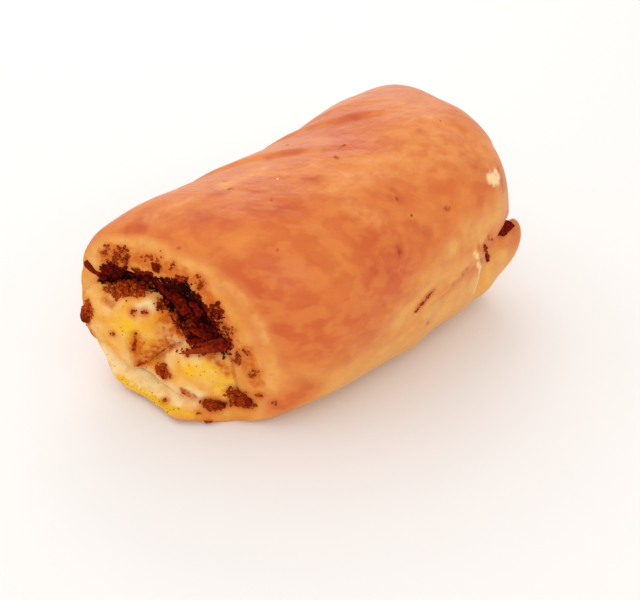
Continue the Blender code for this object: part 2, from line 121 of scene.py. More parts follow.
# the bun's own measures, in millimetres, with angles in degrees
bun = dict(
    frontY=-50.0, rearY=49.0,            # planes of the two end faces
    frontSlant=0.37, frontLean=(8.0, -46.0),    # the front face runs back to the right
    rearSlant=0.10, rearLean=(10.0, 45.0),
    shoulder=17.0, roundness=2.3,        # length and fullness of the rounded ends
    rearRoundness=2.7, rearPivot=-1.0, rearLift=2.0,
    squareTop=2.45, squareBase=3.5, squareBlend=0.6,    # superellipse powers of the section
    middle=(-4.8, 23.0),                 # centre of the front face, X and Z
    sink=0.7, origin=(0.11, -1.65),      # flattened underside, and where the frame's origin lies
    # place along Y, middle X, half width, height
    stations=((-50, -1.0, 31.8, 54.5), (-34, -0.3, 32.6, 56.3), (-20, 0.0, 32.9, 57.4),
              (-6, 0.3, 32.6, 59.3), (8, 0.4, 32.8, 61.0), (22, 0.2, 33.4, 64.2),
              (34, 0.0, 33.4, 64.5), (50, -0.4, 32.6, 64.2)),
    face=((20.3, 3.0), (22.7, 11.3), (22.7, 19.8), (19.9, 28.3), (16.1, 35.9), (10.4, 41.5), (3.0, 45.8),
          (-7.5, 47.6), (-15.1, 47.4), (-22.3, 45.9), (-27.6, 42.5), (-29.8, 36.8), (-29.6, 29.0),
          (-29.8, 22.0), (-27.0, 15.5), (-22.0, 9.0), (-19.0, 2.5), (-15.0, 0.4), (-7.0, 0.0), (1.0, 0.0),
          (9.0, 0.0), (16.5, 0.5)),
    rim=((14.4, 8.5), (13.3, 13.0), (11.6, 19.4), (9.6, 26.0), (6.8, 30.6), (2.1, 33.9), (-3.3, 35.6),
         (-10.0, 36.2), (-17.0, 36.2), (-22.3, 34.4), (-26.0, 30.0), (-26.3, 24.0), (-22.5, 16.5),
         (-16.0, 9.3), (-10.0, 7.6), (-2.0, 6.4), (6.0, 6.0), (11.5, 6.2)),
    inner=((13.2, 9.5), (11.5, 13.5), (10.0, 16.5), (6.8, 20.0), (3.6, 22.5), (2.0, 25.5), (-1.0, 29.5),
           (-7.0, 32.5), (-14.0, 33.3), (-20.5, 32.0), (-25.0, 28.5), (-25.8, 24.0), (-22.0, 17.0),
           (-15.6, 9.8), (-9.8, 8.1), (-2.0, 7.0), (6.0, 6.6), (11.0, 7.0)),
    thinnestRim=1.5, thinnestCrease=0.3,
    # by angle in degrees: how far the rim swells forward, and how deep the gap behind it is
    swell=((0, 2.2), (45, 2.6), (90, 2.8), (135, 2.8), (165, 3.0), (185, 3.6), (205, 4.8), (225, 6.2),
           (245, 7.6), (268, 8.8), (285, 10.6), (297, 12.0), (307, 9.5), (320, 3.4), (340, 2.2)),
    depth=((0, 13.0), (60, 14.0), (110, 13.0), (135, 11.0), (155, 5.0), (175, 0.6), (205, -1.4),
           (235, -2.4), (275, -2.4), (300, -0.5), (325, 4.5), (345, 10.0)),
    notchAngle=312.0, notchWidth=4.5, notchDepth=2.8,
    lapLine=((-60, -3.0), (-40, 0.0), (-20, 6.0), (-8, 13.2), (2, 19.4), (9, 23.0), (20, 27.6), (27, 30.0),
             (32.5, 32.0), (38, 35.5), (44, 39.0), (55, 43.0)),
    # how far the skin steps inward under the lap, along Y, up Z and round the section
    lapStep=1.7, lapStart=(4.0, 18.0), lapRearStep=4.2, lapRear=(30.0, 44.0), lapEdge=(-0.33, 0.77),
    lapTurn=(0.1, 0.4), lapFoot=(-4.0, 8.0), lapInner=0.85,
    rimTurn=0.92, rimFullness=0.6, creaseEdge=0.94,
    coreLevel=-1.5, wallShade=0.8,
    # where the crust ends, by angle in degrees: 0 at the face's outline, 0.3 at the rim's inner edge, and
    # below 0 back along the side, one for each paleScale mm
    crustEdge=((0, -0.01), (40, -0.01), (80, 0.0), (110, 0.0), (140, 0.0), (160, -0.06), (185, -0.14),
               (215, -0.22), (250, -0.22), (285, -0.20), (305, -0.08), (320, 0.0), (340, 0.0)),
    paleScale=40.0,
    rearSwell=2.0, rearDepth=7.0, rearWidthLeft=0.70, rearHeightLeft=0.74,
    rearLobe=(-10.0, 24.0, 19.0, 16.0, 6.0, 4.0),    # centre X and Z, half sizes, crown, set back
)


def outlineRadius(angle, points):
    # distance from the face's middle to a closed outline, at each angle
    polar = []
    for x, z in points:
        dx, dz = x - bun["middle"][0], z - bun["middle"][1]
        polar.append((math.degrees(math.atan2(dz, dx)) % 360.0, math.hypot(dx, dz)))
    return byAngle(angle, sorted(polar))


def sectionMiddle(y):
    cx = spline(y, [(s[0], s[1]) for s in bun["stations"]])
    height = spline(y, [(s[0], s[3]) for s in bun["stations"]])
    return cx, height / 2.0


def bodySection(angle, y, lap):
    # superellipse |x/a|^n + |z/b|^n = 1, with n larger below, and a step inward under the lap
    cx, cz = sectionMiddle(y)
    half = spline(y, [(s[0], s[2]) for s in bun["stations"]])
    blend = rise(-np.sin(angle), 0.0, bun["squareBlend"])
    power = bun["squareTop"] + (bun["squareBase"] - bun["squareTop"]) * blend
    radius = (np.abs(np.cos(angle) / half) ** power + np.abs(np.sin(angle) / cz) ** power) ** (-1.0 / power)
    z = cz + radius * np.sin(angle)
    below = rise(spline(y, bun["lapLine"]) - z, *bun["lapEdge"])
    onFlank = rise(np.cos(angle), *bun["lapTurn"]) * rise(z, *bun["lapFoot"])
    step = bun["lapStep"] * rise(y, *bun["lapStart"]) + bun["lapRearStep"] * rise(y, *bun["lapRear"])
    radius = radius - lap * step * below * onFlank
    return cx + radius * np.cos(angle), cz + radius * np.sin(angle)


def roundIn(t, p):
    # from 0 up to 1 along a superellipse of power p: (1 - (1 - t)^p)^(1/p)
    return (1.0 - (1.0 - np.clip(t, 0.0, 1.0)) ** p) ** (1.0 / p)


def rollSection(angle, y, share=1.0):
    # the point at a share of the way from the section's middle to the skin, with both ends rounded in
    bodyX, bodyZ = bodySection(angle, y, rise(share, bun["lapInner"], 1.0))
    midX, midZ = sectionMiddle(y)
    face = outlineRadius(angle, bun["face"])
    front = roundIn((y - bun["frontY"]) / bun["shoulder"], bun["roundness"])
    frontX, frontZ = bun["middle"]
    faceX, faceZ = frontX + face * np.cos(angle), frontZ + face * np.sin(angle)
    x, z = faceX + (bodyX - faceX) * front, faceZ + (bodyZ - faceZ) * front
    mx, mz = frontX + (midX - frontX) * front, frontZ + (midZ - frontZ) * front
    rear = roundIn((bun["rearY"] - y) / bun["shoulder"], bun["rearRoundness"])
    width = bun["rearWidthLeft"] + (1.0 - bun["rearWidthLeft"]) * rear
    height = bun["rearHeightLeft"] + (1.0 - bun["rearHeightLeft"]) * rear
    x, mx = ((end - bun["rearPivot"]) * width + bun["rearPivot"] for end in (x, mx))
    z, mz = (end * height + bun["rearLift"] * (1.0 - rear) for end in (z, mz))
    return mx + (x - mx) * share, mz + (z - mz) * share


def place(x, y, z):
    # lean both end faces, flatten the underside, and move to the frame's origin
    lean = bun["frontSlant"] * rise(y, *bun["frontLean"]) - bun["rearSlant"] * rise(y, *bun["rearLean"])
    z = np.maximum(z - bun["sink"], 0.0)
    return np.stack([x - bun["origin"][0], y + lean * x - bun["origin"][1], z], axis=-1)


def rearLobes(x, z):
    # a low dome: crown (1 - u^2 - w^2)^(1/2), set back
    cx, cz, halfX, halfZ, crown, setBack = bun["rearLobe"]
    level = 1.0 - ((x - cx) / halfX) ** 2 - ((z - cz) / halfZ) ** 2
    return crown * np.sqrt(np.clip(level, 0.0, None)) - setBack


def coreFloor(x, z):
    # the inner dough under the two folds, kept just behind them
    return bun["coreLevel"] + 0.0 * x


def rimShare(angle):
    face = outlineRadius(angle, bun["face"])
    return np.minimum(outlineRadius(angle, bun["rim"]), face - bun["thinnestRim"]) / face


def innerShare(angle):
    face = outlineRadius(angle, bun["face"])
    widest = rimShare(angle) - bun["thinnestCrease"] / face
    return np.minimum(outlineRadius(angle, bun["inner"]) / face, widest)


capBounds = (0.0, 0.30, 0.36, 0.41, 0.48, 1.0)    # rim, outer wall, floor, inner wall, lobes


def endCap(angle, v, endY, inward, swell, depth, lobes):
    # v runs from the face's outline to its middle: over the rim as sin(turn pi t)^fullness, down the
    # gap's outer wall, over its floor, up the inner wall as a quarter sine, and over the lobes
    rim, inner = rimShare(angle), innerShare(angle)
    turn, crease = math.pi * bun["rimTurn"], bun["creaseEdge"]
    rimTop = swell * math.sin(turn) ** bun["rimFullness"]
    edgeX, edgeZ = rollSection(angle, endY + 0.0 * angle, inner * crease)
    edge = lobes(edgeX, edgeZ)
    t = [np.clip((v - a) / (b - a), 0.0, 1.0) for a, b in zip(capBounds, capBounds[1:])]
    down = rimTop - (rimTop + depth) * t[1]
    up = -depth + (edge + depth) * np.sin(t[3] * np.pi / 2.0)
    share = 1.0 + (rim - 1.0) * t[0] + (inner - rim) * t[2]
    share = share - inner * ((1.0 - crease) * t[3] + crease * t[4])
    forward = np.where(v < capBounds[1], swell * np.sin(turn * t[0]) ** bun["rimFullness"], down)
    forward = np.where(v >= capBounds[2], -depth, forward)
    forward = np.where(v >= capBounds[3], up, forward)
    x, z = rollSection(angle, endY + inward * np.maximum(-forward, 0.0), share)
    forward = np.where(v >= capBounds[4], lobes(x, z), forward)
    return place(x, endY - inward * forward, z)


def capPlaces(steps):
    places = []
    for count, a, b in zip(steps, capBounds, capBounds[1:]):
        places += [a + (b - a) * i / count for i in range(count)]
    return np.array(places + [1.0])


def soften(grid, passes, columns):
    # rounds sharp turns along the columns by averaging 1-2-1, only where columns is True
    keep = columns[None, 1:-1, None]
    for _ in range(passes):
        mean = (grid[:, :-2] + 2.0 * grid[:, 1:-1] + grid[:, 2:]) / 4.0
        grid[:, 1:-1] = np.where(keep, mean, grid[:, 1:-1])
    return grid


def meshObject(name, points, quads, triangles=None, smoothShaded=True):
    faces = [q for q in (quads, triangles) if q is not None and len(q)]
    sizes = np.concatenate([np.full(len(f), f.shape[1], dtype=np.int32) for f in faces])
    corners = np.concatenate([f.ravel() for f in faces]).astype(np.int32)
    mesh = bpy.data.meshes.new(name)
    mesh.vertices.add(len(points))
    mesh.vertices.foreach_set("co", (points * mm).astype(np.float32).ravel())
    mesh.loops.add(len(corners))
    mesh.loops.foreach_set("vertex_index", corners)
    mesh.polygons.add(len(sizes))
    mesh.polygons.foreach_set("loop_start", (np.cumsum(sizes) - sizes).astype(np.int32))
    mesh.update(calc_edges=True)
    mesh.validate()
    if smoothShaded:
        mesh.shade_smooth()
    piece = bpy.data.objects.new(name, mesh)
    bpy.context.scene.collection.objects.link(piece)
    return piece


def closedFaces(rows, width):
    # quads over rows that run round and columns between two poles, and a fan of triangles at each pole;
    # the poles are the last two points
    r, c = np.meshgrid(np.arange(rows), np.arange(width - 1), indexing="ij")
    n = (r + 1) % rows
    quads = np.stack([r * width + c, r * width + c + 1, n * width + c + 1, n * width + c], -1)
    r, n = r[:, 0] * width, n[:, 0] * width
    first, last = np.full(rows, rows * width), np.full(rows, rows * width + 1)
    fans = [np.stack([first, r, n], -1), np.stack([r + width - 1, last, n + width - 1], -1)]
    return quads.reshape(-1, 4), np.concatenate(fans)


def closedGrid(grid):
    # each end column becomes one point
    ends = [[grid[:, column].mean(axis=0)] for column in (0, -1)]
    points = np.concatenate([grid[:, 1:-1].reshape(-1, 3), *ends])
    return (points, *closedFaces(grid.shape[0], grid.shape[1] - 2))


def keepValues(piece, name, values):
    # one number for each point of a mesh, kept as an attribute that materials read
    layer = piece.data.attributes.new(name, "FLOAT", "POINT")
    layer.data.foreach_set("value", values.astype(np.float32))


def pointValues(piece, name, grid):
    values = np.concatenate([grid[:, 1:-1].ravel(), [grid[:, 0].mean()], [grid[:, -1].mean()]])
    keepValues(piece, name, values)


# the baked roll: counts of its grid, and the waves of its skin
roll = dict(
    around=320, cap=(26, 14, 5, 14, 40), rearCap=(10, 5, 2, 5, 14), side=150, crowding=0.05,
    softPasses=7, softColumns=8, crustBlend=0.10, fullDepth=13.0, leastDepth=0.1,
    # where the gap's walls are stained with the filling's colour and darkened with painted shade
    wallFrom=(0.325, 0.355), wallUntil=(0.90, 0.70), wallDepth=(2.0, 6.0),
    crustWave=0.5, crustWaveSize=22.0, crustStretch=0.4, innerWave=0.35, innerWaveSize=5.0,
)
# low steps across the top left: how far back each lies and how high it is, and where they fade
steps = dict(lines=((0.0, 1.1), (17.2, 1.0), (24.0, 0.6)), width=3.0, reach=5.0,
             across=(4.0, -10.0), up=(30.0, 42.0))


def rollGrid():
    # front cap from pole to rim, the long side, and the rear cap, as one grid; also each point's v
    angle = np.linspace(0.0, fullTurn, roll["around"], endpoint=False)[:, None]
    notch = bell(np.degrees(angle) - bun["notchAngle"], bun["notchWidth"])
    v = capPlaces(roll["cap"])[None, :]
    swell = byAngle(angle, bun["swell"]) - bun["notchDepth"] * notch
    depth = byAngle(angle, bun["depth"])
    front = endCap(angle, v, bun["frontY"], 1.0, swell, depth, coreFloor)
    vRear = capPlaces(roll["rearCap"])[None, :]
    rearDepth = bun["rearDepth"] * np.clip(depth / roll["fullDepth"], roll["leastDepth"], 1.0)
    rear = endCap(angle, vRear, bun["rearY"], -1.0, bun["rearSwell"] + 0.0 * angle, rearDepth, rearLobes)
    t = np.linspace(0.0, 1.0, roll["side"] + 1)
    y = bun["frontY"] + (bun["rearY"] - bun["frontY"]) * (t - roll["crowding"] * np.sin(fullTurn * t))
    x, z = rollSection(angle, y[None, :] + 0.0 * angle)
    side = place(x, y[None, :] + 0.0 * angle, z)
    grid = np.concatenate([front[:, ::-1], side[:, 1:-1], rear], axis=1)
    columns = np.zeros(grid.shape[1], dtype=bool)
    columns[1:front.shape[1] + roll["softColumns"]] = True
    grid = soften(grid, roll["softPasses"], columns)
    onSide = -(y[1:-1] - bun["frontY"]) / bun["paleScale"]
    along = np.concatenate([v[0, ::-1], onSide, vRear[0]])[None, :]
    places = along - byAngle(angle, bun["crustEdge"])
    walls = rise(along, *roll["wallFrom"]) * rise(along, *roll["wallUntil"])
    walls = walls * rise(depth, *roll["wallDepth"])
    return relief(grid, rise(places, 0.0, roll["crustBlend"])), places, walls


def relief(grid, inside):
    # pushes the skin along its normal by low waves: long ones on the crust, short ones on the inner dough
    n = surfaceNormals(grid)
    along, across = (grid[..., 0] + grid[..., 1]) * diagonal, (grid[..., 1] - grid[..., 0]) * diagonal
    drawn = np.stack([along * roll["crustStretch"], across, grid[..., 2]], -1)
    crust = waves(drawn, roll["crustWaveSize"], (0.7, 0.4, 4), (0.3, 0.17, 7))
    crust = crust + lumps(grid, roll["crustWaveSize"], 3)
    inner = waves(grid, roll["innerWaveSize"], (1.0, 1.0, 5), (0.5, 0.45, 6))
    height = roll["crustWave"] * crust * (1.0 - inside) + roll["innerWave"] * inner * inside
    grid = grid + n * height[..., None]
    # each step rises as smoothstep - 1/2 past its line, times exp(-(distance / reach)^2)
    left = rise(grid[..., 0], *steps["across"]) * rise(grid[..., 2], *steps["up"])
    for line, up in steps["lines"]:
        past = across - line
        grid[..., 2] += up * (stepUp(past, steps["width"]) - 0.5) * bell(past, steps["reach"]) * left
    grid[..., 2] = np.maximum(grid[..., 2], 0.0)
    return grid


# the two folds of inner dough at the front.
# outline: points X, Z on the front face, and how far forward each lies; crown and back: how far the fold
# stands before and behind them; bumps: X, Z, radius, height; ledge: a low step right of a line of Z, X
upperFold = dict(outline=((-29.6, 27.4, 0.0), (-30.6, 22.1, 0.0), (-29.2, 15.8, 1.0), (-26.6, 13.8, 2.0),
                          (-23.7, 13.1, 2.5), (-19.2, 12.0, 3.5), (-14.6, 10.3, 4.0), (-10.3, 9.8, 4.5),
                          (-6.3, 15.0, 4.0), (-2.9, 19.4, 3.0), (1.4, 24.2, 1.5), (-0.6, 27.0, 0.0),
                          (-4.0, 30.2, 0.0), (-8.1, 32.3, 0.0), (-12.0, 33.2, 0.0), (-17.2, 32.6, 0.0),
                          (-22.7, 31.2, 0.0), (-27.0, 30.2, 0.0)),
                 crown=5.0, back=6.0, bumps=((-17.0, 25.0, 8.0, 1.0), (-9.0, 28.0, 5.0, 0.6)),
                 ledge=((8.0, -15.5), (14.0, -15.8), (18.0, -17.0), (24.0, -17.5)), ledgeHeight=0.9,
                 seed=31)
lowerFold = dict(outline=((-10.8, 9.4, 2.0), (-6.9, 15.2, 2.0), (-4.3, 19.1, 1.5), (0.4, 22.6, 0.5),
                          (4.3, 22.8, 0.0), (8.5, 21.7, 0.0), (12.6, 19.4, -0.5), (14.6, 14.0, -0.5),
                          (14.6, 9.1, -0.5), (12.7, 5.1, 0.0), (9.5, 3.4, 1.0), (6.9, 2.6, 2.0),
                          (5.0, 4.1, 3.0), (1.3, 5.2, 3.5), (-3.9, 7.4, 3.5), (-7.8, 8.6, 3.0)),
                 crown=4.6, back=6.0, bumps=((3.0, 14.0, 6.0, 0.8),), ledge=None, seed=35)
fold = dict(around=220, front=80, back=24, power=2.3, wave=0.30, waveSize=4.5,
            ledgeWidth=0.7, ledgeFade=(24.0, 12.0), stainFrom=(0.8, -0.4))


def foldGrid(shape):
    # a cushion: along a ray from its middle, s runs 0 to 1 and back, and it stands crown (1 - s^p)^(1/2)
    angle = np.linspace(0.0, fullTurn, fold["around"], endpoint=False)[:, None]
    midX, midZ = (np.mean([p[i] for p in shape["outline"]]) for i in (0, 1))
    polar = sorted((math.degrees(math.atan2(z - midZ, x - midX)) % 360.0, math.hypot(x - midX, z - midZ), f)
                   for x, z, f in shape["outline"])
    reach = byAngle(angle, [(a, r) for a, r, _ in polar])
    edge = byAngle(angle, [(a, f) for a, _, f in polar])
    level = np.mean([f for _, _, f in polar])
    front = np.sin(np.linspace(0.0, 1.0, fold["front"] + 1) * np.pi / 2.0)
    back = np.cos(np.linspace(0.0, 1.0, fold["back"] + 1) * np.pi / 2.0)[1:]
    s = np.concatenate([front, back])[None, :]
    behind = np.concatenate([np.zeros(len(front)), np.ones(len(back))])[None, :]
    x, z = midX + s * reach * np.cos(angle), midZ + s * reach * np.sin(angle)
    bulge = np.sqrt(np.clip(1.0 - s ** fold["power"], 0.0, 1.0))
    bumps = sum(h * bell(np.hypot(x - bx, z - bz), r) for bx, bz, r, h in shape["bumps"])
    if shape["ledge"]:
        side = stepUp(x - spline(z, shape["ledge"]), fold["ledgeWidth"]) * rise(z, *fold["ledgeFade"])
        bumps = bumps + shape["ledgeHeight"] * side
    stand = np.where(behind > 0, -shape["back"], shape["crown"] + bumps) * bulge
    forward = level + (edge - level) * s + stand
    grid = place(x, bun["frontY"] - forward, z)
    wave = waves(grid, fold["waveSize"], (1.0, 1.0, shape["seed"]), (0.5, 0.4, shape["seed"] + 1))
    grid = grid + surfaceNormals(grid) * (fold["wave"] * wave)[..., None]
    return grid, rise(forward, *fold["stainFrom"])


# the tongue of the lower layer, which shows behind the roll
tongue = dict(
    around=180, along=120, crowding=1.6, start=12.0, length=49.5, middleX=4.0, halfWidth=27.5,
    halfThick=5.5, curlFrom=2.4, curlRadius=15.5, straight=0.50, blunt=20.0, thinning=0.6,
    tipShift=6.5, shiftPower=1.5,
    undercut=9.0, undercutHeight=26.0,
    # how far its low edge stands out beside the roll's rear end, and where along Y, up Z and over X
    root=4.0, rootStart=(26.5, 36.5), rootEnd=(54.5, 40.5), rootHeight=(18.0, 8.0), rootSide=(0.0, 10.0),
)


def tongueGrid():
    # an elliptical slab laid along a line that runs level, then curls up round an arc, with a blunt end
    angle = np.linspace(0.0, fullTurn, tongue["around"], endpoint=False)[:, None]
    t = 1.0 - (1.0 - np.linspace(0.0, 1.0, tongue["along"] + 1)[None, :]) ** tongue["crowding"]
    taper = np.clip((t - tongue["straight"]) / (1.0 - tongue["straight"]), 0.0, 1.0)
    size = np.maximum(1.0 - taper ** tongue["blunt"], 0.0) ** 0.5
    shift = tongue["tipShift"] * taper ** tongue["shiftPower"]
    along = shift + tongue["halfWidth"] * size * np.cos(angle)
    outward = -tongue["halfThick"] * size ** tongue["thinning"] * np.sin(angle)
    turn = np.maximum(along - tongue["curlFrom"], 0.0) / tongue["curlRadius"]
    radius = tongue["curlRadius"] + outward
    x = tongue["middleX"] + np.minimum(along, tongue["curlFrom"]) + radius * np.sin(turn)
    z = tongue["halfThick"] + tongue["curlRadius"] - radius * np.cos(turn)
    z = np.maximum(z - bun["sink"], 0.0)
    undercut = tongue["undercut"] * taper * rise(z, tongue["undercutHeight"], 0.0)
    y = tongue["start"] + tongue["length"] * t - undercut
    root = rise(y, *tongue["rootStart"]) * rise(y, *tongue["rootEnd"])
    x = x + tongue["root"] * root * rise(z, *tongue["rootHeight"]) * rise(x, *tongue["rootSide"])
    return np.stack([x - bun["origin"][0], y - bun["origin"][1], z], axis=-1)


# the filling in the gap
filling = dict(
    start=-44.0, end=160.0, along=300, slope=90, wall=16, rearDepth=4.0, lip=0.25, wallPower=1.5,
    taperPower=0.25, taperDepth=8.0, clear=0.25, over=9.0, overDepth=15.0, overPower=1.3,
    rough=0.55, roughSize=2.6, shadeDepth=(1.5, 7.5),
)
# by angle in degrees: how deep its front lies by the inner dough, and by the rim
fillingInner = ((-44, 0.5), (-25, 0.0), (0, 0.0), (20, 0.0), (45, 0.5), (75, 0.5), (95, -0.5),
                (115, -1.5), (135, -0.5), (160, 0.5))
fillingOuter = ((-44, 2.0), (-25, 1.5), (0, 5.0), (20, 10.0), (45, 12.0), (75, 12.0), (95, 8.0),
                (115, 4.5), (135, 2.5), (160, 2.0))


def fillingGrid():
    # rows go round its section: front slope outward, back along the rim, and forward along the inner
    # dough; columns follow the bend, and sections shrink to a point at both ends
    t = np.linspace(0.0, 1.0, filling["along"] + 1)[None, :]
    angle = np.radians(filling["start"] + (filling["end"] - filling["start"]) * t)
    q = np.linspace(0.0, 1.0, filling["slope"])[:, None]
    w = np.linspace(0.0, 1.0, filling["wall"] + 1)[1:, None]
    nearFront, deepFront = byAngle(angle, fillingInner), byAngle(angle, fillingOuter)
    rear = bun["rearY"] - filling["rearDepth"] - bun["frontY"]
    across = np.concatenate([q + 0.0 * t, 1.0 + 0.0 * w * t, 1.0 - w + 0.0 * t, 0.0 * w[:-1] * t])
    slopeDepth = nearFront + (deepFront - nearFront) * rise(q, filling["lip"], 1.0)
    outWall = deepFront + (rear - deepFront) * w ** filling["wallPower"]
    backWall = rear + 0.0 * w * t
    inWall = rear + (nearFront - rear) * (1.0 - (1.0 - w[:-1]) ** filling["wallPower"])
    depth = np.concatenate([slopeDepth, outWall, backWall, inWall])
    taper = np.sin(np.pi * t) ** filling["taperPower"]
    middle = (nearFront + deepFront) / 2.0 + filling["taperDepth"]
    depth = middle + (depth - middle) * taper
    across = 0.5 + (across - 0.5) * taper
    y = bun["frontY"] + depth
    rim, inner = rimShare(angle), innerShare(angle)
    face = outlineRadius(angle, bun["face"])
    pad = filling["clear"] / face
    over = filling["over"] / face * rise(depth, filling["overDepth"], 0.0)
    over = over * (1.0 - across) ** filling["overPower"]
    share = inner + pad - over + (rim - inner - 2.0 * pad) * across
    x, z = rollSection(angle + 0.0 * y, y, share)
    grid = place(x, y, z)
    rough = filling["rough"] * taper * waves(grid, filling["roughSize"], (1.0, 1.0, 21), (0.7, 0.42, 22))
    # the second value is how far back each point lies, as painted shade that darkens the filling deeper in
    # the gap
    return grid + surfaceNormals(grid) * rough[..., None], rise(depth, *filling["shadeDepth"])


def srgb(r, g, b):
    # 0-255 screen values to linear light
    out = []
    for c in (r, g, b):
        c = c / 255.0
        out.append(c / 12.92 if c <= 0.04045 else ((c + 0.055) / 1.055) ** 2.4)
    return (*out, 1.0)


def put(nodes, kind, **settings):
    node = nodes.new(kind)
    for key, value in settings.items():
        setattr(node, key, value)
    return node


def feed(links, socket, value):
    # a socket gets either another socket or a constant
    if isinstance(value, bpy.types.NodeSocket):
        links.new(value, socket)
    else:
        socket.default_value = value


def ramp(tree, value, low, high, outLow=0.0, outHigh=1.0):
    node = put(tree.nodes, "ShaderNodeMapRange", interpolation_type="SMOOTHSTEP")
    settings = {"Value": value, "From Min": low, "From Max": high, "To Min": outLow, "To Max": outHigh}
    for key, item in settings.items():
        feed(tree.links, node.inputs[key], item)
    return node.outputs["Result"]


def mix(tree, factor, a, b):
    node = put(tree.nodes, "ShaderNodeMix", data_type="RGBA")
    for index, item in ((0, factor), (6, a), (7, b)):
        feed(tree.links, node.inputs[index], item)
    return node.outputs[2]


def maths(tree, operation, a, b=0.0):
    node = put(tree.nodes, "ShaderNodeMath", operation=operation)
    feed(tree.links, node.inputs[0], a)
    feed(tree.links, node.inputs[1], b)
    return node.outputs[0]


def times(tree, a, b):
    return maths(tree, "MULTIPLY", a, b)


def most(tree, a, b):
    return maths(tree, "MAXIMUM", a, b)


def makeGroup(name, **inputs):
    # a node group with number inputs and one output, Mask
    group = bpy.data.node_groups.new(name, "ShaderNodeTree")
    for label, value in inputs.items():
        socket = group.interface.new_socket(label, in_out="INPUT", socket_type="NodeSocketFloat")
        socket.default_value = value
    group.interface.new_socket("Mask", in_out="OUTPUT", socket_type="NodeSocketFloat")
    return group, group.nodes.new("NodeGroupInput"), group.nodes.new("NodeGroupOutput")


patterns = dict(mottleSpread=(0.34, 0.66), speckWarp=0.12, speckWarpScale=2.0, leastReach=0.5,
                speckEdge=1.1, paintedFrom=(0.02, 0.2))


def mottleGroup():
    # soft blotches: noise at a size, stretched by the stretch along the line X = Y, spread to 0..1
    group, start, end = makeGroup("mottle", Size=0.02, Stretch=1.0, Detail=3.0, Seed=0.0)
    coords = group.nodes.new("ShaderNodeTexCoord")
    split = group.nodes.new("ShaderNodeSeparateXYZ")
    group.links.new(coords.outputs["Object"], split.inputs[0])
    join = group.nodes.new("ShaderNodeCombineXYZ")
    along = times(group, maths(group, "ADD", split.outputs["X"], split.outputs["Y"]), diagonal)
    across = times(group, maths(group, "SUBTRACT", split.outputs["Y"], split.outputs["X"]), diagonal)
    group.links.new(maths(group, "DIVIDE", along, start.outputs["Stretch"]), join.inputs["X"])
    group.links.new(across, join.inputs["Y"])
    group.links.new(split.outputs["Z"], join.inputs["Z"])
    noise = put(group.nodes, "ShaderNodeTexNoise", noise_dimensions="4D")
    group.links.new(join.outputs[0], noise.inputs["Vector"])
    group.links.new(start.outputs["Seed"], noise.inputs["W"])
    group.links.new(maths(group, "DIVIDE", 1.0, start.outputs["Size"]), noise.inputs["Scale"])
    group.links.new(start.outputs["Detail"], noise.inputs["Detail"])
    group.links.new(ramp(group, noise.outputs["Fac"], *patterns["mottleSpread"]), end.inputs["Mask"])
    return group


def speckleGroup():
    # small round specks: near the middle of some Voronoi cells, as many as the share says
    group, start, end = makeGroup("speckle", Spacing=0.004, Radius=0.15, Share=0.3, Soft=0.4)
    coords = group.nodes.new("ShaderNodeTexCoord")
    warp = group.nodes.new("ShaderNodeTexNoise")
    group.links.new(coords.outputs["Object"], warp.inputs["Vector"])
    scale = maths(group, "DIVIDE", patterns["speckWarpScale"], start.outputs["Spacing"])
    group.links.new(scale, warp.inputs["Scale"])
    shift = put(group.nodes, "ShaderNodeVectorMath", operation="SCALE")
    group.links.new(warp.outputs["Color"], shift.inputs[0])
    group.links.new(times(group, start.outputs["Spacing"], patterns["speckWarp"]), shift.inputs["Scale"])
    moved = put(group.nodes, "ShaderNodeVectorMath", operation="ADD")
    group.links.new(coords.outputs["Object"], moved.inputs[0])
    group.links.new(shift.outputs[0], moved.inputs[1])
    cells = group.nodes.new("ShaderNodeTexVoronoi")
    group.links.new(moved.outputs[0], cells.inputs["Vector"])
    group.links.new(maths(group, "DIVIDE", 1.0, start.outputs["Spacing"]), cells.inputs["Scale"])
    split = group.nodes.new("ShaderNodeSeparateColor")
    group.links.new(cells.outputs["Color"], split.inputs[0])
    chosen = maths(group, "LESS_THAN", split.outputs[0], start.outputs["Share"])
    reach = maths(group, "ADD", split.outputs[1], patterns["leastReach"])
    reach = times(group, start.outputs["Radius"], reach)
    edge = maths(group, "SUBTRACT", patterns["speckEdge"], start.outputs["Soft"])
    away = maths(group, "DIVIDE", cells.outputs["Distance"], reach)
    near = ramp(group, away, edge, patterns["speckEdge"], 1.0, 0.0)
    group.links.new(times(group, near, chosen), end.inputs["Mask"])
    return group


def newMaterial(name, roughness):
    material = bpy.data.materials.new(name)
    material.use_nodes = True
    tree = material.node_tree
    shader = tree.nodes["Principled BSDF"]
    shader.inputs["Roughness"].default_value = roughness
    return material, tree, shader


def useGroup(tree, group, **values):
    node = put(tree.nodes, "ShaderNodeGroup", node_tree=group)
    for key, value in values.items():
        feed(tree.links, node.inputs[key], value)
    return node.outputs[0]


def attribute(tree, name):
    return put(tree.nodes, "ShaderNodeAttribute", attribute_name=name).outputs["Fac"]


def blotches(tree, size, seed, strength=1.0, stretch=1.0, detail=3.0):
    mask = useGroup(tree, mottle, Size=size, Seed=seed, Stretch=stretch, Detail=detail)
    return times(tree, mask, strength)


def specks(tree, spacing, radius, share, strength=1.0, soft=0.4):
    mask = useGroup(tree, speckle, Spacing=spacing, Radius=radius, Share=share, Soft=soft)
    return times(tree, mask, strength)


def worn(tree, name, size, seed, depth, soft):
    # a painted mask with an uneven edge: smoothstep of mask + depth (mottle - 1/2), soft round 1/2
    value = attribute(tree, name)
    wobble = times(tree, maths(tree, "SUBTRACT", blotches(tree, size, seed, detail=5.0), 0.5), depth)
    mask = ramp(tree, maths(tree, "ADD", value, wobble), 0.5 - soft, 0.5 + soft)
    return times(tree, mask, ramp(tree, value, *patterns["paintedFrom"]))


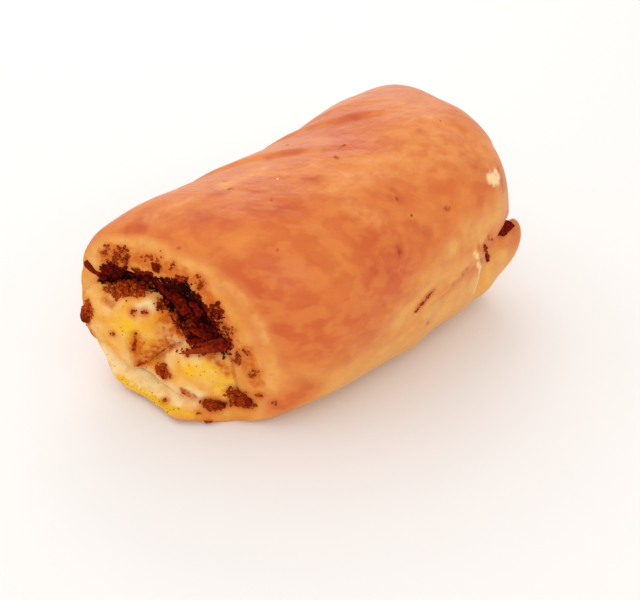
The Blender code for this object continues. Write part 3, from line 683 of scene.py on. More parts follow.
def veil(tree, name, size, seed, strength):
    # a soft painted mask, thinned by blotches: strength * mask * (1 - 0.6 mottle)
    thin = maths(tree, "SUBTRACT", 1.0, blotches(tree, size, seed, strength=0.6))
    return times(tree, times(tree, attribute(tree, name), thin), strength)


def giveBump(tree, shader, height, strength, distance):
    bump = tree.nodes.new("ShaderNodeBump")
    bump.inputs["Strength"].default_value = strength
    bump.inputs["Distance"].default_value = distance
    tree.links.new(height, bump.inputs["Height"])
    tree.links.new(bump.outputs["Normal"], shader.inputs["Normal"])


def crumbColours(tree, gold=0.0):
    # dark and red grains, golden where gold says, and nearly black with painted shade where the
    # painted-shade attribute says
    grain = blotches(tree, 0.0009, seed=8.0)
    colour = mix(tree, gold, mix(tree, grain, tone["crumbDark"], tone["crumbRed"]), tone["crumbGold"])
    return grain, mix(tree, attribute(tree, "deep"), colour, tone["deep"])


tone = dict(
    crust=srgb(208, 104, 34), crustRed=srgb(196, 74, 16), crustGold=srgb(228, 140, 56),
    # the pink one below is a painted highlight of sheen, and the ridge one pale dough with painted
    # highlight
    crustDark=srgb(184, 58, 10), sheenHighlight=srgb(238, 162, 86), paleAndHighlightRidge=srgb(240, 186, 112),
    # the flank colour below pales the lower flank as painted bounce light, with golden patches
    flank=srgb(232, 172, 82), pore=srgb(146, 44, 4), torn=srgb(243, 206, 150), fleck=srgb(246, 182, 112),
    rimPale=srgb(220, 142, 66), tan=srgb(232, 160, 56), cream=srgb(240, 210, 152),
    # the toasted brown below also serves as painted shade in creases
    yellow=srgb(238, 182, 34), toastAndCreaseShade=srgb(188, 88, 16), pepper=srgb(112, 62, 14),
    turmeric=srgb(226, 176, 46), olive=srgb(150, 104, 22), stain=srgb(198, 88, 26),
    # the nearly black one at the end of the next line is painted shade
    crumbDark=srgb(78, 10, 2), crumbRed=srgb(144, 26, 5), crumbGold=srgb(204, 82, 18), deep=srgb(40, 3, 1),
)
# the attribute inside: where crust turns to dough, and the pale rim to inner dough; and, in metres, the
# heights between which the lower flank pales, as painted bounce light from the floor
border = dict(crust=(-0.02, 0.09), rim=(0.24, 0.40), dull=(0.0, 0.09), flank=(0.030, 0.006))


def crustColour(tree):
    # golden and red-brown patches, a painted highlight of pink sheen, a lower flank paled by painted bounce
    # light with golden patches, pores, light flecks and torn spots
    def over(mask, name):
        nonlocal colour
        colour = mix(tree, mask, colour, tone[name])

    colour = tone["crust"]
    over(blotches(tree, 0.013, seed=2.0, stretch=2.2, strength=0.7), "crustGold")
    red = blotches(tree, 0.020, seed=1.0, strength=0.32)
    over(most(tree, red, veil(tree, "red", 0.01, 14.0, 0.7)), "crustRed")
    over(blotches(tree, 0.0045, seed=5.0, stretch=1.3, strength=0.27), "crustRed")
    streaks = blotches(tree, 0.0040, seed=19.0, stretch=1.7, detail=2.0)
    over(ramp(tree, streaks, 0.2, 1.0, 0.0, 0.35), "crustGold")
    spots = specks(tree, 0.010, radius=0.22, share=0.35, soft=1.0, strength=0.5)
    over(most(tree, spots, veil(tree, "blotch", 0.004, 20.0, 0.6)), "crustDark")
    # painted highlight: a pink sheen along the top left and a lighter rear top
    over(veil(tree, "paintedSheen", 0.003, 21.0, 0.5), "sheenHighlight")
    height = tree.nodes.new("ShaderNodeSeparateXYZ")
    tree.links.new(tree.nodes.new("ShaderNodeTexCoord").outputs["Object"], height.inputs[0])
    # painted bounce light: the flank pales towards the floor, joined by golden patches, but not where red
    # is painted
    low = times(tree, ramp(tree, height.outputs["Z"], *border["flank"]), 0.8)
    low = most(tree, low, veil(tree, "gold", 0.008, 16.0, 0.8))
    over(times(tree, low, maths(tree, "SUBTRACT", 1.0, attribute(tree, "red"))), "flank")
    pores = most(tree, specks(tree, 0.012, radius=0.05, share=0.30), veil(tree, "dots", 0.001, 22.0, 1.2))
    over(times(tree, pores, 0.8), "pore")
    over(specks(tree, 0.011, radius=0.035, share=0.25), "fleck")
    over(worn(tree, "torn", 0.0014, 9.0, depth=0.5, soft=0.5), "torn")
    return colour, pores


def innerColour(tree):
    # tan, cream and yellow as painted, with specks of pepper and herbs
    cream = blotches(tree, 0.006, seed=3.0, strength=0.45)
    cream = maths(tree, "ADD", cream, veil(tree, "cream", 0.003, 15.0, 1.0))
    inner = mix(tree, cream, tone["tan"], tone["cream"])
    inner = mix(tree, veil(tree, "yellow", 0.0025, 10.0, 1.05), inner, tone["yellow"])
    pepper = specks(tree, 0.0012, radius=0.16, share=0.5, strength=0.9)
    inner = mix(tree, times(tree, pepper, blotches(tree, 0.005, seed=24.0)), inner, tone["pepper"])
    herbs = specks(tree, 0.0010, radius=0.2, share=0.5, strength=0.6)
    return mix(tree, times(tree, herbs, attribute(tree, "yellow")), inner, tone["olive"])


def doughMaterial():
    material, tree, shader = newMaterial("bakedDough", 0.45)
    inside = attribute(tree, "inside")
    crust, pores = crustColour(tree)
    inner = innerColour(tree)
    pale = mix(tree, blotches(tree, 0.005, seed=4.0, strength=0.4), tone["rimPale"], inner)
    colour = mix(tree, ramp(tree, inside, *border["rim"]), pale, inner)
    colour = mix(tree, ramp(tree, inside, *border["crust"]), crust, colour)
    # pale dough and a painted highlight along the rim's ridge, and a painted highlight on lit edges at the
    # rear
    colour = mix(tree, veil(tree, "pale", 0.004, 23.0, 0.5), colour, tone["paleAndHighlightRidge"])
    spiced = mix(tree, specks(tree, 0.0009, radius=0.3, share=0.45), tone["turmeric"], tone["olive"])
    colour = mix(tree, worn(tree, "turmeric", 0.0009, 12.0, depth=1.3, soft=0.6), colour, spiced)
    # toasted brown, and painted shade along creases
    colour = mix(tree, veil(tree, "toastAndCreaseShade", 0.0015, 11.0, 1.0), colour, tone["toastAndCreaseShade"])
    # what the filling has touched: an orange-brown halo, and dark red-brown where it covers the dough,
    # darkened nearly to black by painted shade in the gap
    rust = times(tree, worn(tree, "rust", 0.0016, 18.0, depth=0.9, soft=1.1), 0.85)
    colour = mix(tree, most(tree, rust, times(tree, attribute(tree, "halo"), 0.75)), colour, tone["stain"])
    grain, covered = crumbColours(tree)
    cover = worn(tree, "stain", 0.0016, 13.0, depth=0.9, soft=0.15)
    tree.links.new(mix(tree, cover, colour, covered), shader.inputs["Base Color"])
    # only the crust shines
    dull = most(tree, most(tree, cover, attribute(tree, "pale")), ramp(tree, inside, *border["dull"]))
    dull = most(tree, dull, pores)
    for socket, onCrust, elsewhere in (("Roughness", 0.42, 0.70), ("Specular IOR Level", 0.30, 0.04),
                                       ("Coat Weight", 0.18, 0.0)):
        tree.links.new(ramp(tree, dull, 0.0, 1.0, onCrust, elsewhere), shader.inputs[socket])
    shader.inputs["Coat Roughness"].default_value = 0.32
    # skin: fine grain and shallow pits, and crumbs where the filling covers it
    fine = blotches(tree, 0.0011, seed=6.0, detail=4.0, strength=0.35)
    coarse = blotches(tree, 0.005, seed=7.0, stretch=1.7, detail=2.0, strength=1.8)
    rough = times(tree, times(tree, cover, grain), 2.5)
    height = maths(tree, "ADD", maths(tree, "ADD", fine, coarse), rough)
    giveBump(tree, shader, height, strength=0.32, distance=0.0007)
    return material


def crumbMaterial():
    material, tree, shader = newMaterial("curryCrumb", 0.85)
    shader.inputs["Specular IOR Level"].default_value = 0.06
    grain, colour = crumbColours(tree, attribute(tree, "tone"))
    tree.links.new(colour, shader.inputs["Base Color"])
    giveBump(tree, shader, grain, strength=0.8, distance=0.0006)
    return material


view = dict(azimuth=45.0, elevation=34.4, roll=2.45, distance=310.72, lookAt=(-2.91, 1.65, 8.74),
            lens=59.06, sensor=36.0, picture=(640.0, 600.0))


def makeCamera():
    a, e, r = (math.radians(view[k]) for k in ("azimuth", "elevation", "roll"))
    back = np.array([math.sin(a) * math.cos(e), -math.cos(a) * math.cos(e), math.sin(e)])
    right = np.array([math.cos(a), math.sin(a), 0.0])
    up = np.cross(back, right)
    tiltRight = math.cos(r) * right + math.sin(r) * up
    tiltUp = -math.sin(r) * right + math.cos(r) * up
    camera = bpy.data.objects.new("camera", bpy.data.cameras.new("camera"))
    camera.data.lens = view["lens"]
    camera.data.sensor_width = view["sensor"]
    camera.data.clip_start = 0.01
    eye = np.array(view["lookAt"]) + back * view["distance"]
    rows = [[tiltRight[i], tiltUp[i], back[i], eye[i] * mm] for i in range(3)]
    camera.matrix_world = [list(col) for col in zip(*(rows + [[0.0, 0.0, 0.0, 1.0]]))]
    bpy.context.scene.collection.objects.link(camera)
    bpy.context.scene.camera = camera
    focal = view["lens"] / view["sensor"] * view["picture"][0]
    return dict(eye=eye, back=back, right=tiltRight, up=tiltUp, focal=focal)


light = dict(worldStrength=0.92, worldColour=(1.0, 0.985, 0.97, 1.0), floorColour=(0.86, 0.845, 0.83, 1.0),
             floorRoughness=0.6, floorHalf=2000.0)
lamps = dict(key=((-0.70, -0.30, 1.05), 1.2, 2.9), fill=((0.95, -0.75, 0.75), 1.0, 4.2),
             back=((-0.9, 0.75, 0.7), 0.8, 2.4))    # place in metres, size, power


def areaLight(name, place, size, power):
    lamp = bpy.data.lights.new(name, "AREA")
    lamp.size = size
    lamp.energy = power
    holder = bpy.data.objects.new(name, lamp)
    holder.location = place
    towards = -np.array(place) / np.linalg.norm(place)
    holder.rotation_euler = Vector(towards).to_track_quat("-Z", "Y").to_euler()
    bpy.context.scene.collection.objects.link(holder)


def makeStage():
    corners = np.array([[-1, -1, 0], [1, -1, 0], [1, 1, 0], [-1, 1, 0]]) * light["floorHalf"]
    floor = meshObject("floor", corners, np.array([[0, 1, 2, 3]]), smoothShaded=False)
    material, _, shader = newMaterial("paleFloor", light["floorRoughness"])
    shader.inputs["Base Color"].default_value = light["floorColour"]
    floor.data.materials.append(material)
    world = bpy.data.worlds.new("studio")
    world.use_nodes = True
    background = world.node_tree.nodes["Background"]
    background.inputs["Color"].default_value = light["worldColour"]
    background.inputs["Strength"].default_value = light["worldStrength"]
    bpy.context.scene.world = world
    for name, values in lamps.items():
        areaLight(name, *values)
    bpy.context.scene.view_settings.view_transform = "Standard"


# each zone: where its middle is seen (pixels of the 640 x 600 view), half sizes, tilt in degrees, how
# many crumbs, their size in mm, how high they pile, and their shade: golden above 0, darkened with painted
# shade below 0
crumbZones = (
    (129, 289, 20, 7, -4, 220, 1.15, 1.5, 0.4), (105, 288, 4, 4, 0, 6, 0.6, 0.5, 0.5),
    (118, 271, 12, 5, 8, 90, 1.5, 0.9, -0.25), (112, 277, 8, 4, -20, 50, 1.3, 0.6, -0.3),
    (142, 277, 12, 3, 14, 70, 1.2, 0.5, -0.45), (168, 281, 14, 3, 8, 60, 0.9, 0.4, -0.5),
    (112, 251, 8, 5, 0, 50, 0.65, 0.4, 0.5), (125, 256, 4, 7, 0, 42, 0.7, 0.6, 0.25),
    (115, 260, 11, 3, 5, 30, 0.6, 0.4, 0.3), (103, 258, 4, 7, 0, 8, 0.45, 0.3, 0.6),
    (150, 261, 12, 7, 20, 22, 0.45, 0.3, 0.6), (157, 268, 5, 3, 0, 44, 0.7, 0.8, 0.1),
    (151, 257, 3, 3, 0, 5, 0.5, 0.4, 0.4), (173, 268, 5, 6, 0, 14, 0.5, 0.4, 0.4),
    (138, 272, 8, 3, 10, 18, 0.6, 0.4, 0.1), (182, 279, 6, 2, 30, 30, 0.6, 0.5, 0.3),
    (196, 283, 6, 6, 35, 26, 0.55, 0.5, 0.5), (202, 288, 4, 4, 0, 18, 0.6, 0.5, 0.4),
    (187, 283, 5, 4, 30, 30, 0.6, 0.5, 0.0), (214, 312, 7, 8, 40, 90, 0.75, 0.9, 0.05),
    (222, 327, 7, 10, 0, 80, 0.65, 0.6, 0.1), (232, 341, 4, 5, 0, 16, 0.55, 0.4, 0.6),
    (231, 330, 6, 8, -20, 24, 0.45, 0.3, 0.4), (247, 352, 5, 4, 30, 24, 0.5, 0.4, 0.5),
    (236, 359, 6, 5, 0, 28, 0.65, 0.6, 0.5), (252, 374, 6, 8, 20, 34, 0.45, 0.3, 0.5),
    (131, 311, 4, 4, 0, 18, 0.55, 0.4, 0.5), (144, 310, 4, 3, 0, 20, 0.6, 0.5, 0.5),
    (162, 304, 5, 6, 0, 60, 0.7, 0.6, 0.1), (172, 312, 5, 5, 0, 22, 0.6, 0.4, 0.3),
    (112, 333, 2, 2, 0, 8, 0.5, 0.3, 0.4), (134, 341, 2, 7, 5, 32, 0.6, 0.5, 0.35),
    (144, 361, 8, 2, -32, 34, 0.45, 0.3, 0.5), (166, 350, 10, 1, -28, 6, 0.35, 0.2, 0.5),
    (205, 350, 20, 4, -8, 110, 0.7, 0.8, 0.25), (222, 342, 12, 9, 30, 130, 0.8, 0.8, -0.1),
    (176, 320, 4, 13, -20, 50, 0.7, 0.6, 0.7), (186, 308, 8, 7, 20, 40, 1.3, 0.5, -0.1),
    (191, 326, 7, 8, 0, 40, 1.3, 0.5, 0.1), (203, 318, 3, 15, -28, 70, 1.0, 0.4, -0.7),
    (184, 290, 5, 6, 30, 50, 0.9, 0.4, -1.1), (197, 299, 6, 4, 45, 30, 0.8, 0.4, -0.2),
    (171, 292, 8, 4, 25, 56, 0.9, 0.5, -0.3), (212, 331, 4, 8, -30, 34, 1.0, 0.4, -0.2),
    (163, 371, 4, 8, -22, 80, 0.8, 1.0, 0.6), (168, 378, 4, 3, 0, 12, 0.45, 0.3, 0.7),
    (188, 393, 6, 3, 25, 11, 0.5, 0.4, 0.8), (214, 404, 12, 4, 8, 120, 0.8, 1.0, 0.42),
    (209, 409, 4, 4, 0, 20, 0.6, 0.5, 0.5), (240, 397, 12, 6, 35, 200, 0.9, 1.3, 0.38),
    (245, 400, 14, 8, 35, 50, 0.5, 0.4, 0.7), (258, 398, 5, 3, 0, 20, 0.5, 0.3, 0.5),
    (164, 401, 4, 2, 20, 14, 0.45, 0.3, 0.65), (197, 414, 4, 1, -15, 10, 0.45, 0.3, 0.3),
    (206, 411, 2, 4, 0, 8, 0.6, 0.5, 0.5), (275, 402, 5, 3, 20, 16, 0.45, 0.3, 0.4),
    (209, 421, 8, 1, 0, 18, 0.5, 0.3, 0.6), (87, 313, 4, 9, 0, 100, 0.9, 1.2, 0.65),
    (422, 304, 15, 0.7, -50, 46, 0.4, 0.2, 0.4), (428, 297, 5, 1.6, -50, 20, 0.35, 0.2, 0.3),
    (501, 231, 4, 3, -45, 16, 0.5, 0.3, 0.0), (486, 252, 1.2, 8, -12, 50, 0.5, 0.4, 0.25),
    (490, 240, 6, 4, -40, 8, 0.4, 0.2, 0.3),
)
crumb = dict(
    rows=6, rings=4, unevenness=0.5, seed=41, perClump=8, clumpSpread=0.3, seat=0.15, ground=0.05,
    leastSize=0.40, sizeSpread=1.1, sizePower=2.5, leastStretch=0.6, stretchSpread=0.7,
    toneSpread=0.7, toneMiddle=0.5, deepMiddle=0.5,
    haloShade=-0.3, haloReach=1.05, haloShare=0.26, haloDepth=3.0, haloGroup=40,
)


def crumbScatter(sky):
    # lumps of a few dozen faces: unit spheres with uneven radii, stretched, turned, and set where rays land
    draw = np.random.default_rng(crumb["seed"])
    spots, sizes, shades = [], [], []
    for cx, cy, rx, ry, tilt, count, size, pile, shade in crumbZones:
        turn = math.radians(tilt)
        clumps = max(2, count // crumb["perClump"])
        r, a = np.sqrt(draw.random(clumps)), draw.random(clumps) * fullTurn
        pick = draw.integers(0, clumps, count)
        u = rx * ((r * np.cos(a))[pick] + crumb["clumpSpread"] * draw.normal(size=count))
        v = ry * ((r * np.sin(a))[pick] + crumb["clumpSpread"] * draw.normal(size=count))
        r = np.minimum(np.hypot(u / rx, v / ry), 1.0)
        px, py = cx + u * math.cos(turn) - v * math.sin(turn), cy + u * math.sin(turn) + v * math.cos(turn)
        grow = size * (crumb["leastSize"] + crumb["sizeSpread"] * draw.random(count) ** crumb["sizePower"])
        lift = pile * draw.random(count) * (1.0 - r**2)
        for x, y, g, h in zip(px, py, grow, lift):
            spot, up = landing(sky, x, y)
            if spot is not None:
                spots.append(spot + up * (h + crumb["seat"] * g))
                sizes.append(g)
                shades.append(shade)
    spots, sizes, shades = np.array(spots), np.array(sizes), np.array(shades)
    count = len(spots)
    theta = np.linspace(0.0, fullTurn, crumb["rows"], endpoint=False)[:, None]
    phi = np.linspace(0.0, np.pi, crumb["rings"] + 2)[None, 1:-1]
    ball = [np.sin(phi) * np.cos(theta), np.sin(phi) * np.sin(theta), np.cos(phi) + 0.0 * theta]
    ball = np.stack(ball, -1)
    ball = np.concatenate([ball.reshape(-1, 3), [[0.0, 0.0, 1.0], [0.0, 0.0, -1.0]]])
    uneven = 1.0 + crumb["unevenness"] * (draw.random((count, len(ball))) * 2.0 - 1.0)
    stretch = crumb["leastStretch"] + crumb["stretchSpread"] * draw.random((count, 1, 3))
    q = draw.normal(size=(count, 4))
    w, x, y, z = (q / np.linalg.norm(q, axis=1, keepdims=True)).T
    # the turn matrices of random unit quaternions
    turnRows = np.array([[1 - 2 * (y * y + z * z), 2 * (x * y - w * z), 2 * (x * z + w * y)],
                         [2 * (x * y + w * z), 1 - 2 * (x * x + z * z), 2 * (y * z - w * x)],
                         [2 * (x * z - w * y), 2 * (y * z + w * x), 1 - 2 * (x * x + y * y)]])
    lumpPoints = ball[None] * uneven[..., None] * stretch * (sizes / 2.0)[:, None, None]
    lumpPoints = np.einsum("ijn,nkj->nki", turnRows, lumpPoints) + spots[:, None, :]
    lumpPoints[..., 2] = np.maximum(lumpPoints[..., 2], crumb["ground"])
    step = (np.arange(count) * len(ball))[:, None, None]
    quads, fans = (faces + step for faces in closedFaces(crumb["rows"], crumb["rings"]))
    piece = meshObject("crumbs", lumpPoints.reshape(-1, 3), quads.reshape(-1, 4), fans.reshape(-1, 3),
                       smoothShaded=False)
    shadeDraw = draw.random(count)
    golden = crumb["toneSpread"] * np.clip(crumb["toneMiddle"] + shades, 0.0, 1.0) * shadeDraw**2
    # golden crumbs above a shade of 0; below it, crumbs darkened with painted shade
    for name, value in (("tone", shades + golden), ("deep", -shades * (crumb["deepMiddle"] + shadeDraw))):
        keepValues(piece, name, np.repeat(np.clip(value, 0.0, 1.0), len(ball)))
    return piece, spots[shades > crumb["haloShade"]]


def crumbHalo(grid, spots):
    # how stained the dough is near crumbs: 1 - exp(-share * sum of exp(-(distance / reach)^2))
    near = grid[..., 1] < spots[:, 1].max() + crumb["haloDepth"]
    points, total = grid[near], 0.0
    for group in np.array_split(spots, max(1, len(spots) // crumb["haloGroup"])):
        away = np.linalg.norm(points[:, None, :] - group[None], axis=-1)
        total = total + bell(away, crumb["haloReach"]).sum(axis=1)
    halo = np.zeros(grid.shape[:-1])
    halo[near] = 1.0 - np.exp(-crumb["haloShare"] * total)
    return halo


def landing(sky, px, py):
    # where the camera's ray through a pixel meets the bun, and which way its surface faces there
    right, down = ((p - size / 2.0) / sky["focal"] for p, size in zip((px, py), view["picture"]))
    direction = sky["right"] * right - sky["up"] * down - sky["back"]
    hit, normal, _, _ = sky["tree"].ray_cast(sky["eye"].tolist(), direction.tolist())
    if hit is None:
        return None, None
    normal = np.array(normal)
    if normal @ direction > 0.0:
        normal = -normal
    return np.array(hit), normal


# each flake: where its two ends are seen, width, thickness and lift in mm, how golden its first end is
# (below
# 0, darkened with painted shade), and how far that end narrows
flakes = (
    (87, 262, 108, 281, 2.0, 1.1, 0.6, 0.15, 0.0), (85, 307, 88, 321, 3.4, 2.2, 0.0, 0.5, 0.3),
    (181, 353, 229, 346, 3.0, 1.2, 0.7, 0.55, 0.9), (199, 345, 227, 339, 2.2, 1.2, 1.1, 0.1, 0.4),
    (234, 388, 252, 402, 2.2, 1.2, 0.6, 0.4, 0.5), (112, 268, 124, 272, 3.4, 1.2, 0.4, -0.4, 0.5),
    (130, 272, 148, 279, 2.2, 1.0, 0.3, -0.4, 0.4), (189, 317, 200, 333, 3.4, 1.2, 1.0, 0.1, 0.4),
    (160, 366, 166, 379, 1.6, 1.2, 0.4, 0.5, 0.3), (500, 235, 511, 223, 3.8, 1.2, 0.2, 0.05, 0.3),
    (483, 245, 487, 260, 0.8, 0.7, 0.1, 0.1, 0.3), (206, 404, 226, 407, 1.5, 1.0, 0.4, 0.5, 0.5),
    (152, 262, 160, 270, 1.6, 1.0, 0.2, 0.1, 0.5), (210, 306, 220, 318, 1.8, 1.1, 0.2, -0.2, 0.5),
    (176, 292, 190, 312, 4.2, 1.4, 0.9, -0.25, 0.3), (188, 330, 214, 341, 3.0, 1.3, 0.9, 0.1, 0.5),
    (192, 300, 204, 312, 2.6, 1.2, 0.9, 0.0, 0.4), (128, 284, 146, 291, 2.6, 1.6, 1.0, 0.5, 0.5),
)
flakeGrid = dict(around=12, along=13, roughness=0.5, endPower=0.35, squareness=0.6, seat=0.2, ground=0.1,
                 deepShare=0.5)


def makeFlake(sky, index, x0, y0, x1, y1, width, thick, lift, gold, point):
    # a blunt chunk along the line between two landings, made uneven by noise: its section is cos and sin,
    # each raised to the power squareness
    (a, upA), (b, upB) = landing(sky, x0, y0), landing(sky, x1, y1)
    if a is None or b is None:
        return None
    up = upA + upB
    up /= np.linalg.norm(up)
    axis = b - a
    length = np.linalg.norm(axis)
    axis /= length
    across = np.cross(up, axis)
    across /= np.linalg.norm(across)
    over = np.cross(axis, across)
    theta = np.linspace(0.0, fullTurn, flakeGrid["around"], endpoint=False)[:, None]
    phi = np.linspace(0.0, np.pi, flakeGrid["along"])[None, :]
    ring = np.sin(phi) ** flakeGrid["endPower"] * (1.0 - point * (1.0 + np.cos(phi)) / 2.0)
    square = flakeGrid["squareness"]
    side, height = (np.sign(f) * np.abs(f) ** square for f in (np.cos(theta), np.sin(theta)))
    local = np.stack([-np.cos(phi) * length * 0.5 + 0.0 * theta, ring * side * width / 2.0,
                      ring * height * thick / 2.0], -1)
    grid = (a + b) / 2.0 + up * (lift + thick * flakeGrid["seat"]) + local @ np.stack([axis, across, over])
    rough = waves(grid, 1.0, (1.0, 1.7, 60 + index), (0.9, 0.8, 80 + index))
    grid = grid + surfaceNormals(grid) * (flakeGrid["roughness"] * rough * ring)[..., None]
    grid[..., 2] = np.maximum(grid[..., 2], flakeGrid["ground"])
    points, quads, fans = closedGrid(grid)
    piece = meshObject("flake%d" % index, points, quads, fans, smoothShaded=False)
    # golden towards the first end; where gold is below 0, darkened with painted shade instead
    fade = gold * (1.0 + np.cos(phi)) / 2.0 + 0.0 * theta
    pointValues(piece, "tone", np.maximum(fade, 0.0))
    pointValues(piece, "deep", np.maximum(-fade, 0.0) + max(-gold, 0.0) * flakeGrid["deepShare"])
    return piece


def dress(piece, material, slot, *nodes):
    piece.data.materials.append(material)
    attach(piece, "root")
    if nodes:
        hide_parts(*nodes)
    return piece


made = []


def skin(name, grid, inside):
    # a closed piece of dough or filling, kept with its grid for the rays and the paint
    points, quads, fans = closedGrid(grid)
    piece = meshObject(name, points, quads, fans)
    made.append(dict(piece=piece, grid=grid, inside=inside, points=points, quads=quads, fans=fans))
    return piece


# brush strokes: radius and soft edge in mm, then pixels of the 640 x 600 view that the line runs through
strokes = dict(
    torn=(
        (0.5, 2.2, (491, 178), (496, 180)), (0.1, 1.2, (495, 171), (500, 177)),
        (0.2, 0.9, (475, 253), (480, 267), (478, 281), (474, 292)),
    ),
    turmeric=(
        (0.1, 0.9, (119, 377), (134, 388)), (0.2, 1.1, (134, 388), (150, 398)),
        (0.3, 1.1, (150, 398), (168, 409)), (0.1, 1.0, (170, 409), (196, 416)),
    ),
    yellow=(
        (1.2, 2.8, (192, 370), (212, 373)), (0.6, 3.6, (222, 382), (226, 390)),
        (0.4, 5.0, (124, 326), (134, 336)), (0.5, 2.0, (120, 379), (170, 408)),
        (0.3, 1.4, (172, 408), (186, 414)), (0.5, 2.6, (450, 248), (452, 262)),
        (0.5, 2.6, (446, 266), (441, 284)), (0.6, 2.2, (483, 262), (478, 284)),
        (0.4, 2.4, (198, 416), (242, 418)),
    ),
    cream=(
        (0.3, 2.2, (140, 308), (154, 306)), (2.4, 2.8, (134, 376), (192, 399)),
        (0.6, 2.0, (205, 414), (226, 416)), (0.6, 2.4, (188, 362), (194, 360)),
        (1.2, 2.6, (180, 346), (190, 352)), (1.2, 3.4, (110, 350), (122, 374)),
        (0.4, 1.2, (475, 252), (479, 266), (477, 282), (473, 293)),
    ),
    # pale dough and painted highlight along the rim's ridge; painted highlight on lit edges at the rear
    pale=(
        (0.3, 2.4, (90, 272), (93, 256), (104, 243), (145, 242), (176, 257), (207, 272)),
        (0.2, 2.2, (207, 272), (239, 290), (255, 312), (267, 340), (273, 368), (273, 392)),
        (0.1, 0.8, (437, 299), (446, 292)), (0.5, 1.0, (475, 250), (480, 266), (478, 282), (473, 294)),
        (1.5, 3.0, (488, 264), (484, 284)),
    ),
    rust=(
        (0.4, 2.6, (104, 256), (116, 250), (130, 256), (152, 263), (176, 272), (198, 283), (216, 308),
         (228, 334), (240, 356), (254, 378)),
        (0.6, 2.0, (246, 350), (250, 366), (257, 382)), (0.3, 1.6, (226, 392), (262, 396)),
    ),
    # toasted brown, and painted shade along creases at the flap, the lower fold and the rear
    toastAndCreaseShade=(
        (0.1, 2.6, (212, 358), (228, 372)), (1.4, 3.0, (136, 344), (143, 360)),
        (1.4, 2.6, (143, 360), (156, 352)), (0.3, 1.6, (152, 357), (178, 344)),
        (1.3, 4.6, (168, 325), (178, 331)), (0.6, 2.4, (84, 318), (92, 334)),
        (0.4, 1.2, (182, 390), (194, 397)), (0.1, 1.0, (498, 168), (503, 190)),
        (0.1, 1.0, (229, 352), (233, 372), (239, 392)), (0.2, 2.0, (104, 298), (112, 304)),
        (0.8, 3.0, (156, 349), (172, 337)), (0.1, 0.9, (131, 336), (136, 350), (142, 363)),
        (0.1, 0.8, (453, 284), (466, 272)), (0.2, 1.6, (462, 276), (467, 270)),
        (0.1, 1.0, (478, 246), (483, 262)),
    ),
    # the filling's colour where it covers the dough; the last line, along the rim's inner edge, also stands
    # in for the shadowed opening of the gap: painted shade
    stain=(
        (1.2, 1.2, (106, 280), (146, 283)), (1.0, 1.2, (108, 273), (150, 276)),
        (2.6, 1.6, (176, 298), (190, 322)), (2.2, 1.4, (190, 322), (198, 338)),
        (0.8, 1.0, (164, 290), (174, 297)), (1.6, 1.2, (194, 318), (203, 308)),
        (1.2, 1.2, (200, 340), (226, 346)),
        (1.3, 1.0, (150, 281), (168, 285), (184, 289), (198, 301), (208, 314), (218, 332)),
    ),
    # painted shade: the dark of the gap under the rim and down its right side
    deep=(
        (1.2, 1.2, (168, 285), (184, 289), (198, 301), (208, 314)), (1.5, 3.0, (186, 292), (206, 316)),
        (1.0, 2.5, (206, 316), (214, 334)), (1.2, 2.5, (108, 276), (150, 280)),
        (1.5, 2.5, (150, 282), (178, 292)), (1.5, 3.0, (172, 300), (196, 326)),
    ),
    dots=(
        (0.0, 0.4, (317, 123), (318, 124)), (0.1, 0.6, (341, 147), (345, 145)),
        (0.1, 0.7, (335, 157), (338, 158)), (0.0, 0.5, (271, 199), (272, 200)),
        (0.2, 0.8, (446, 208), (448, 209)), (0.1, 0.6, (396, 198), (398, 199)),
        (0.1, 0.8, (398, 248), (400, 252)), (0.0, 0.5, (277, 250), (278, 251)),
        (0.0, 0.6, (178, 249), (180, 251)), (0.1, 0.6, (229, 189), (233, 189)),
        (0.1, 0.6, (427, 323), (428, 324)), (0.0, 0.5, (268, 269), (269, 270)),
        (0.0, 0.5, (440, 120), (441, 121)), (0.0, 0.4, (352, 186), (353, 187)),
        (0.0, 0.5, (270, 373), (272, 375)),
    ),
    red=(
        (1.5, 8.0, (276, 404), (304, 392)), (4.0, 10.0, (150, 236), (205, 224)),
        (4.0, 11.0, (372, 232), (392, 280)), (4.0, 15.0, (250, 300), (330, 330)),
        (2.0, 10.0, (460, 140), (480, 190)), (1.0, 7.0, (330, 130), (350, 145)),
        (2.0, 9.0, (200, 200), (240, 190)),
    ),
    blotch=(
        (0.6, 2.6, (192, 214), (208, 216)), (0.6, 2.4, (344, 121), (354, 119)),
        (0.4, 2.0, (326, 149), (334, 147)), (0.5, 2.4, (304, 181), (316, 180)),
        (0.5, 2.6, (270, 209), (300, 207)), (0.5, 2.2, (392, 198), (400, 199)),
        (0.4, 2.2, (399, 246), (400, 253)), (0.6, 2.6, (128, 232), (142, 224)),
        (0.5, 3.0, (376, 268), (390, 276)), (0.4, 2.2, (340, 200), (352, 203)),
        (0.5, 2.6, (466, 158), (480, 168)), (0.5, 2.6, (408, 224), (428, 232)),
        (0.4, 2.4, (270, 158), (300, 150)), (0.3, 1.8, (212, 196), (226, 192)),
        (1.4, 3.4, (510, 225), (517, 226)), (0.8, 3.0, (517, 228), (514, 246)),
        (0.1, 1.2, (498, 170), (503, 192)),
    ),
    gold=(
        (4.0, 7.0, (405, 312), (472, 245)), (2.5, 6.0, (330, 385), (400, 345)),
        (3.0, 6.0, (420, 326), (468, 290)), (2.0, 7.0, (470, 235), (500, 205)),
        (2.0, 5.0, (500, 262), (486, 280)),
    ),
    # painted highlights of sheen along the top left and over the rear top
    paintedSheen=(
        (0.5, 3.0, (150, 217), (185, 199)), (0.5, 3.0, (222, 186), (262, 170)),
        (0.6, 3.6, (352, 206), (380, 222)), (1.0, 6.0, (340, 184), (420, 150)),
        (2.0, 9.0, (410, 160), (450, 150), (486, 150)), (0.4, 3.0, (430, 118), (470, 140)),
    ),
)


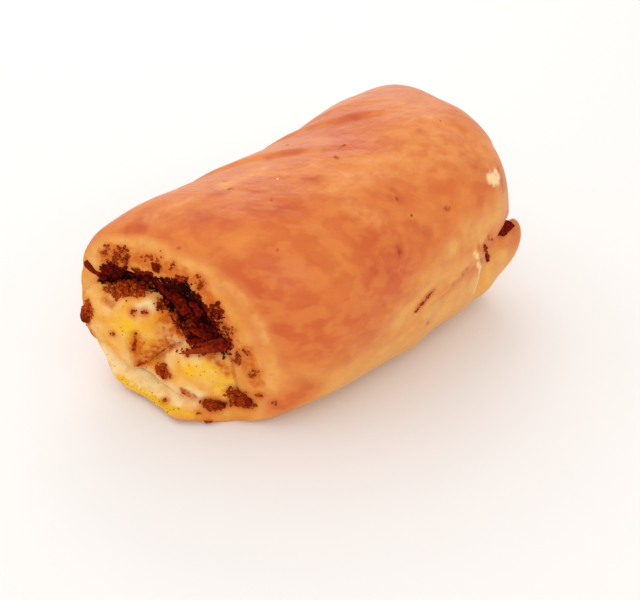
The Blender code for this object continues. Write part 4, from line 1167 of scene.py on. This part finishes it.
def painted(grid, name):
    # the strongest of a colour's strokes at each point: 1 within the radius of the line, falling to 0
    mask = np.zeros(grid.shape[:-1])
    for radius, soft, *pixels in strokes[name]:
        line = [p for p, _ in (landing(sky, x, y) for x, y in pixels) if p is not None]
        for a, b in zip(line[:1] + line, line):
            t = np.clip((grid - a) @ (b - a) / max((b - a) @ (b - a), 1e-9), 0.0, 1.0)
            away = np.linalg.norm(grid - a - t[..., None] * (b - a), axis=-1)
            mask = np.maximum(mask, 1.0 - smooth((away - radius) / soft))
    return mask


sky = makeCamera()
makeStage()
print("camera, floor and lights are in place")

mottle, speckle = mottleGroup(), speckleGroup()
dough, crumbs = doughMaterial(), crumbMaterial()
rollPoints, rollPlaces, rollWalls = rollGrid()
dress(skin("bakedRoll", rollPoints, rollPlaces), dough, "dough", "dough_roll")
print("baked roll made")
foldBacks = {}
for name, shape in (("upperFold", upperFold), ("lowerFold", lowerFold)):
    points, foldBacks[name] = foldGrid(shape)
    dress(skin(name, points, 1.0), dough, "dough")
dress(skin("lowerTongue", tongueGrid(), -1.0), dough, "dough")
print("folds and tongue made")
fillingPoints, fillingShade = fillingGrid()
dress(skin("fillingCore", fillingPoints, 0.0), crumbs, "filling", "curry_filling")
print("filling made")

allPoints, allFaces, count = [], [], 0
for item in made:
    allPoints.append(item["points"])
    allFaces += (item["quads"] + count).tolist() + (item["fans"] + count).tolist()
    count += len(item["points"])
sky["tree"] = BVHTree.FromPolygons(np.concatenate(allPoints).tolist(), allFaces)
scatter, crumbSpots = crumbScatter(sky)
dress(scatter, crumbs, "filling")
for index, flake in enumerate(flakes):
    piece = makeFlake(sky, index, *flake)
    if piece is not None:
        dress(piece, crumbs, "filling")
print("crumbs and flakes made")

for item in made[:4]:
    values = {name: painted(item["grid"], name) for name in strokes}
    if item["piece"].name == "bakedRoll":
        # the gap's walls: stained with the filling's colour, and darkened by wallShade as painted shade
        values["stain"] = np.maximum(values["stain"], rollWalls)
        values["deep"] = np.maximum(values["deep"], rollWalls * bun["wallShade"])
    if item["piece"].name in foldBacks:
        values["stain"] = np.maximum(values["stain"], foldBacks[item["piece"].name])
    values["inside"] = item["inside"] + 0.0 * item["grid"][..., 0]
    values["halo"] = crumbHalo(item["grid"], crumbSpots)
    for name, grid in values.items():
        pointValues(item["piece"], name, grid)
# painted shade: the filling core darkens deeper in the gap
pointValues(made[4]["piece"], "deep", fillingShade)
print("colours painted")
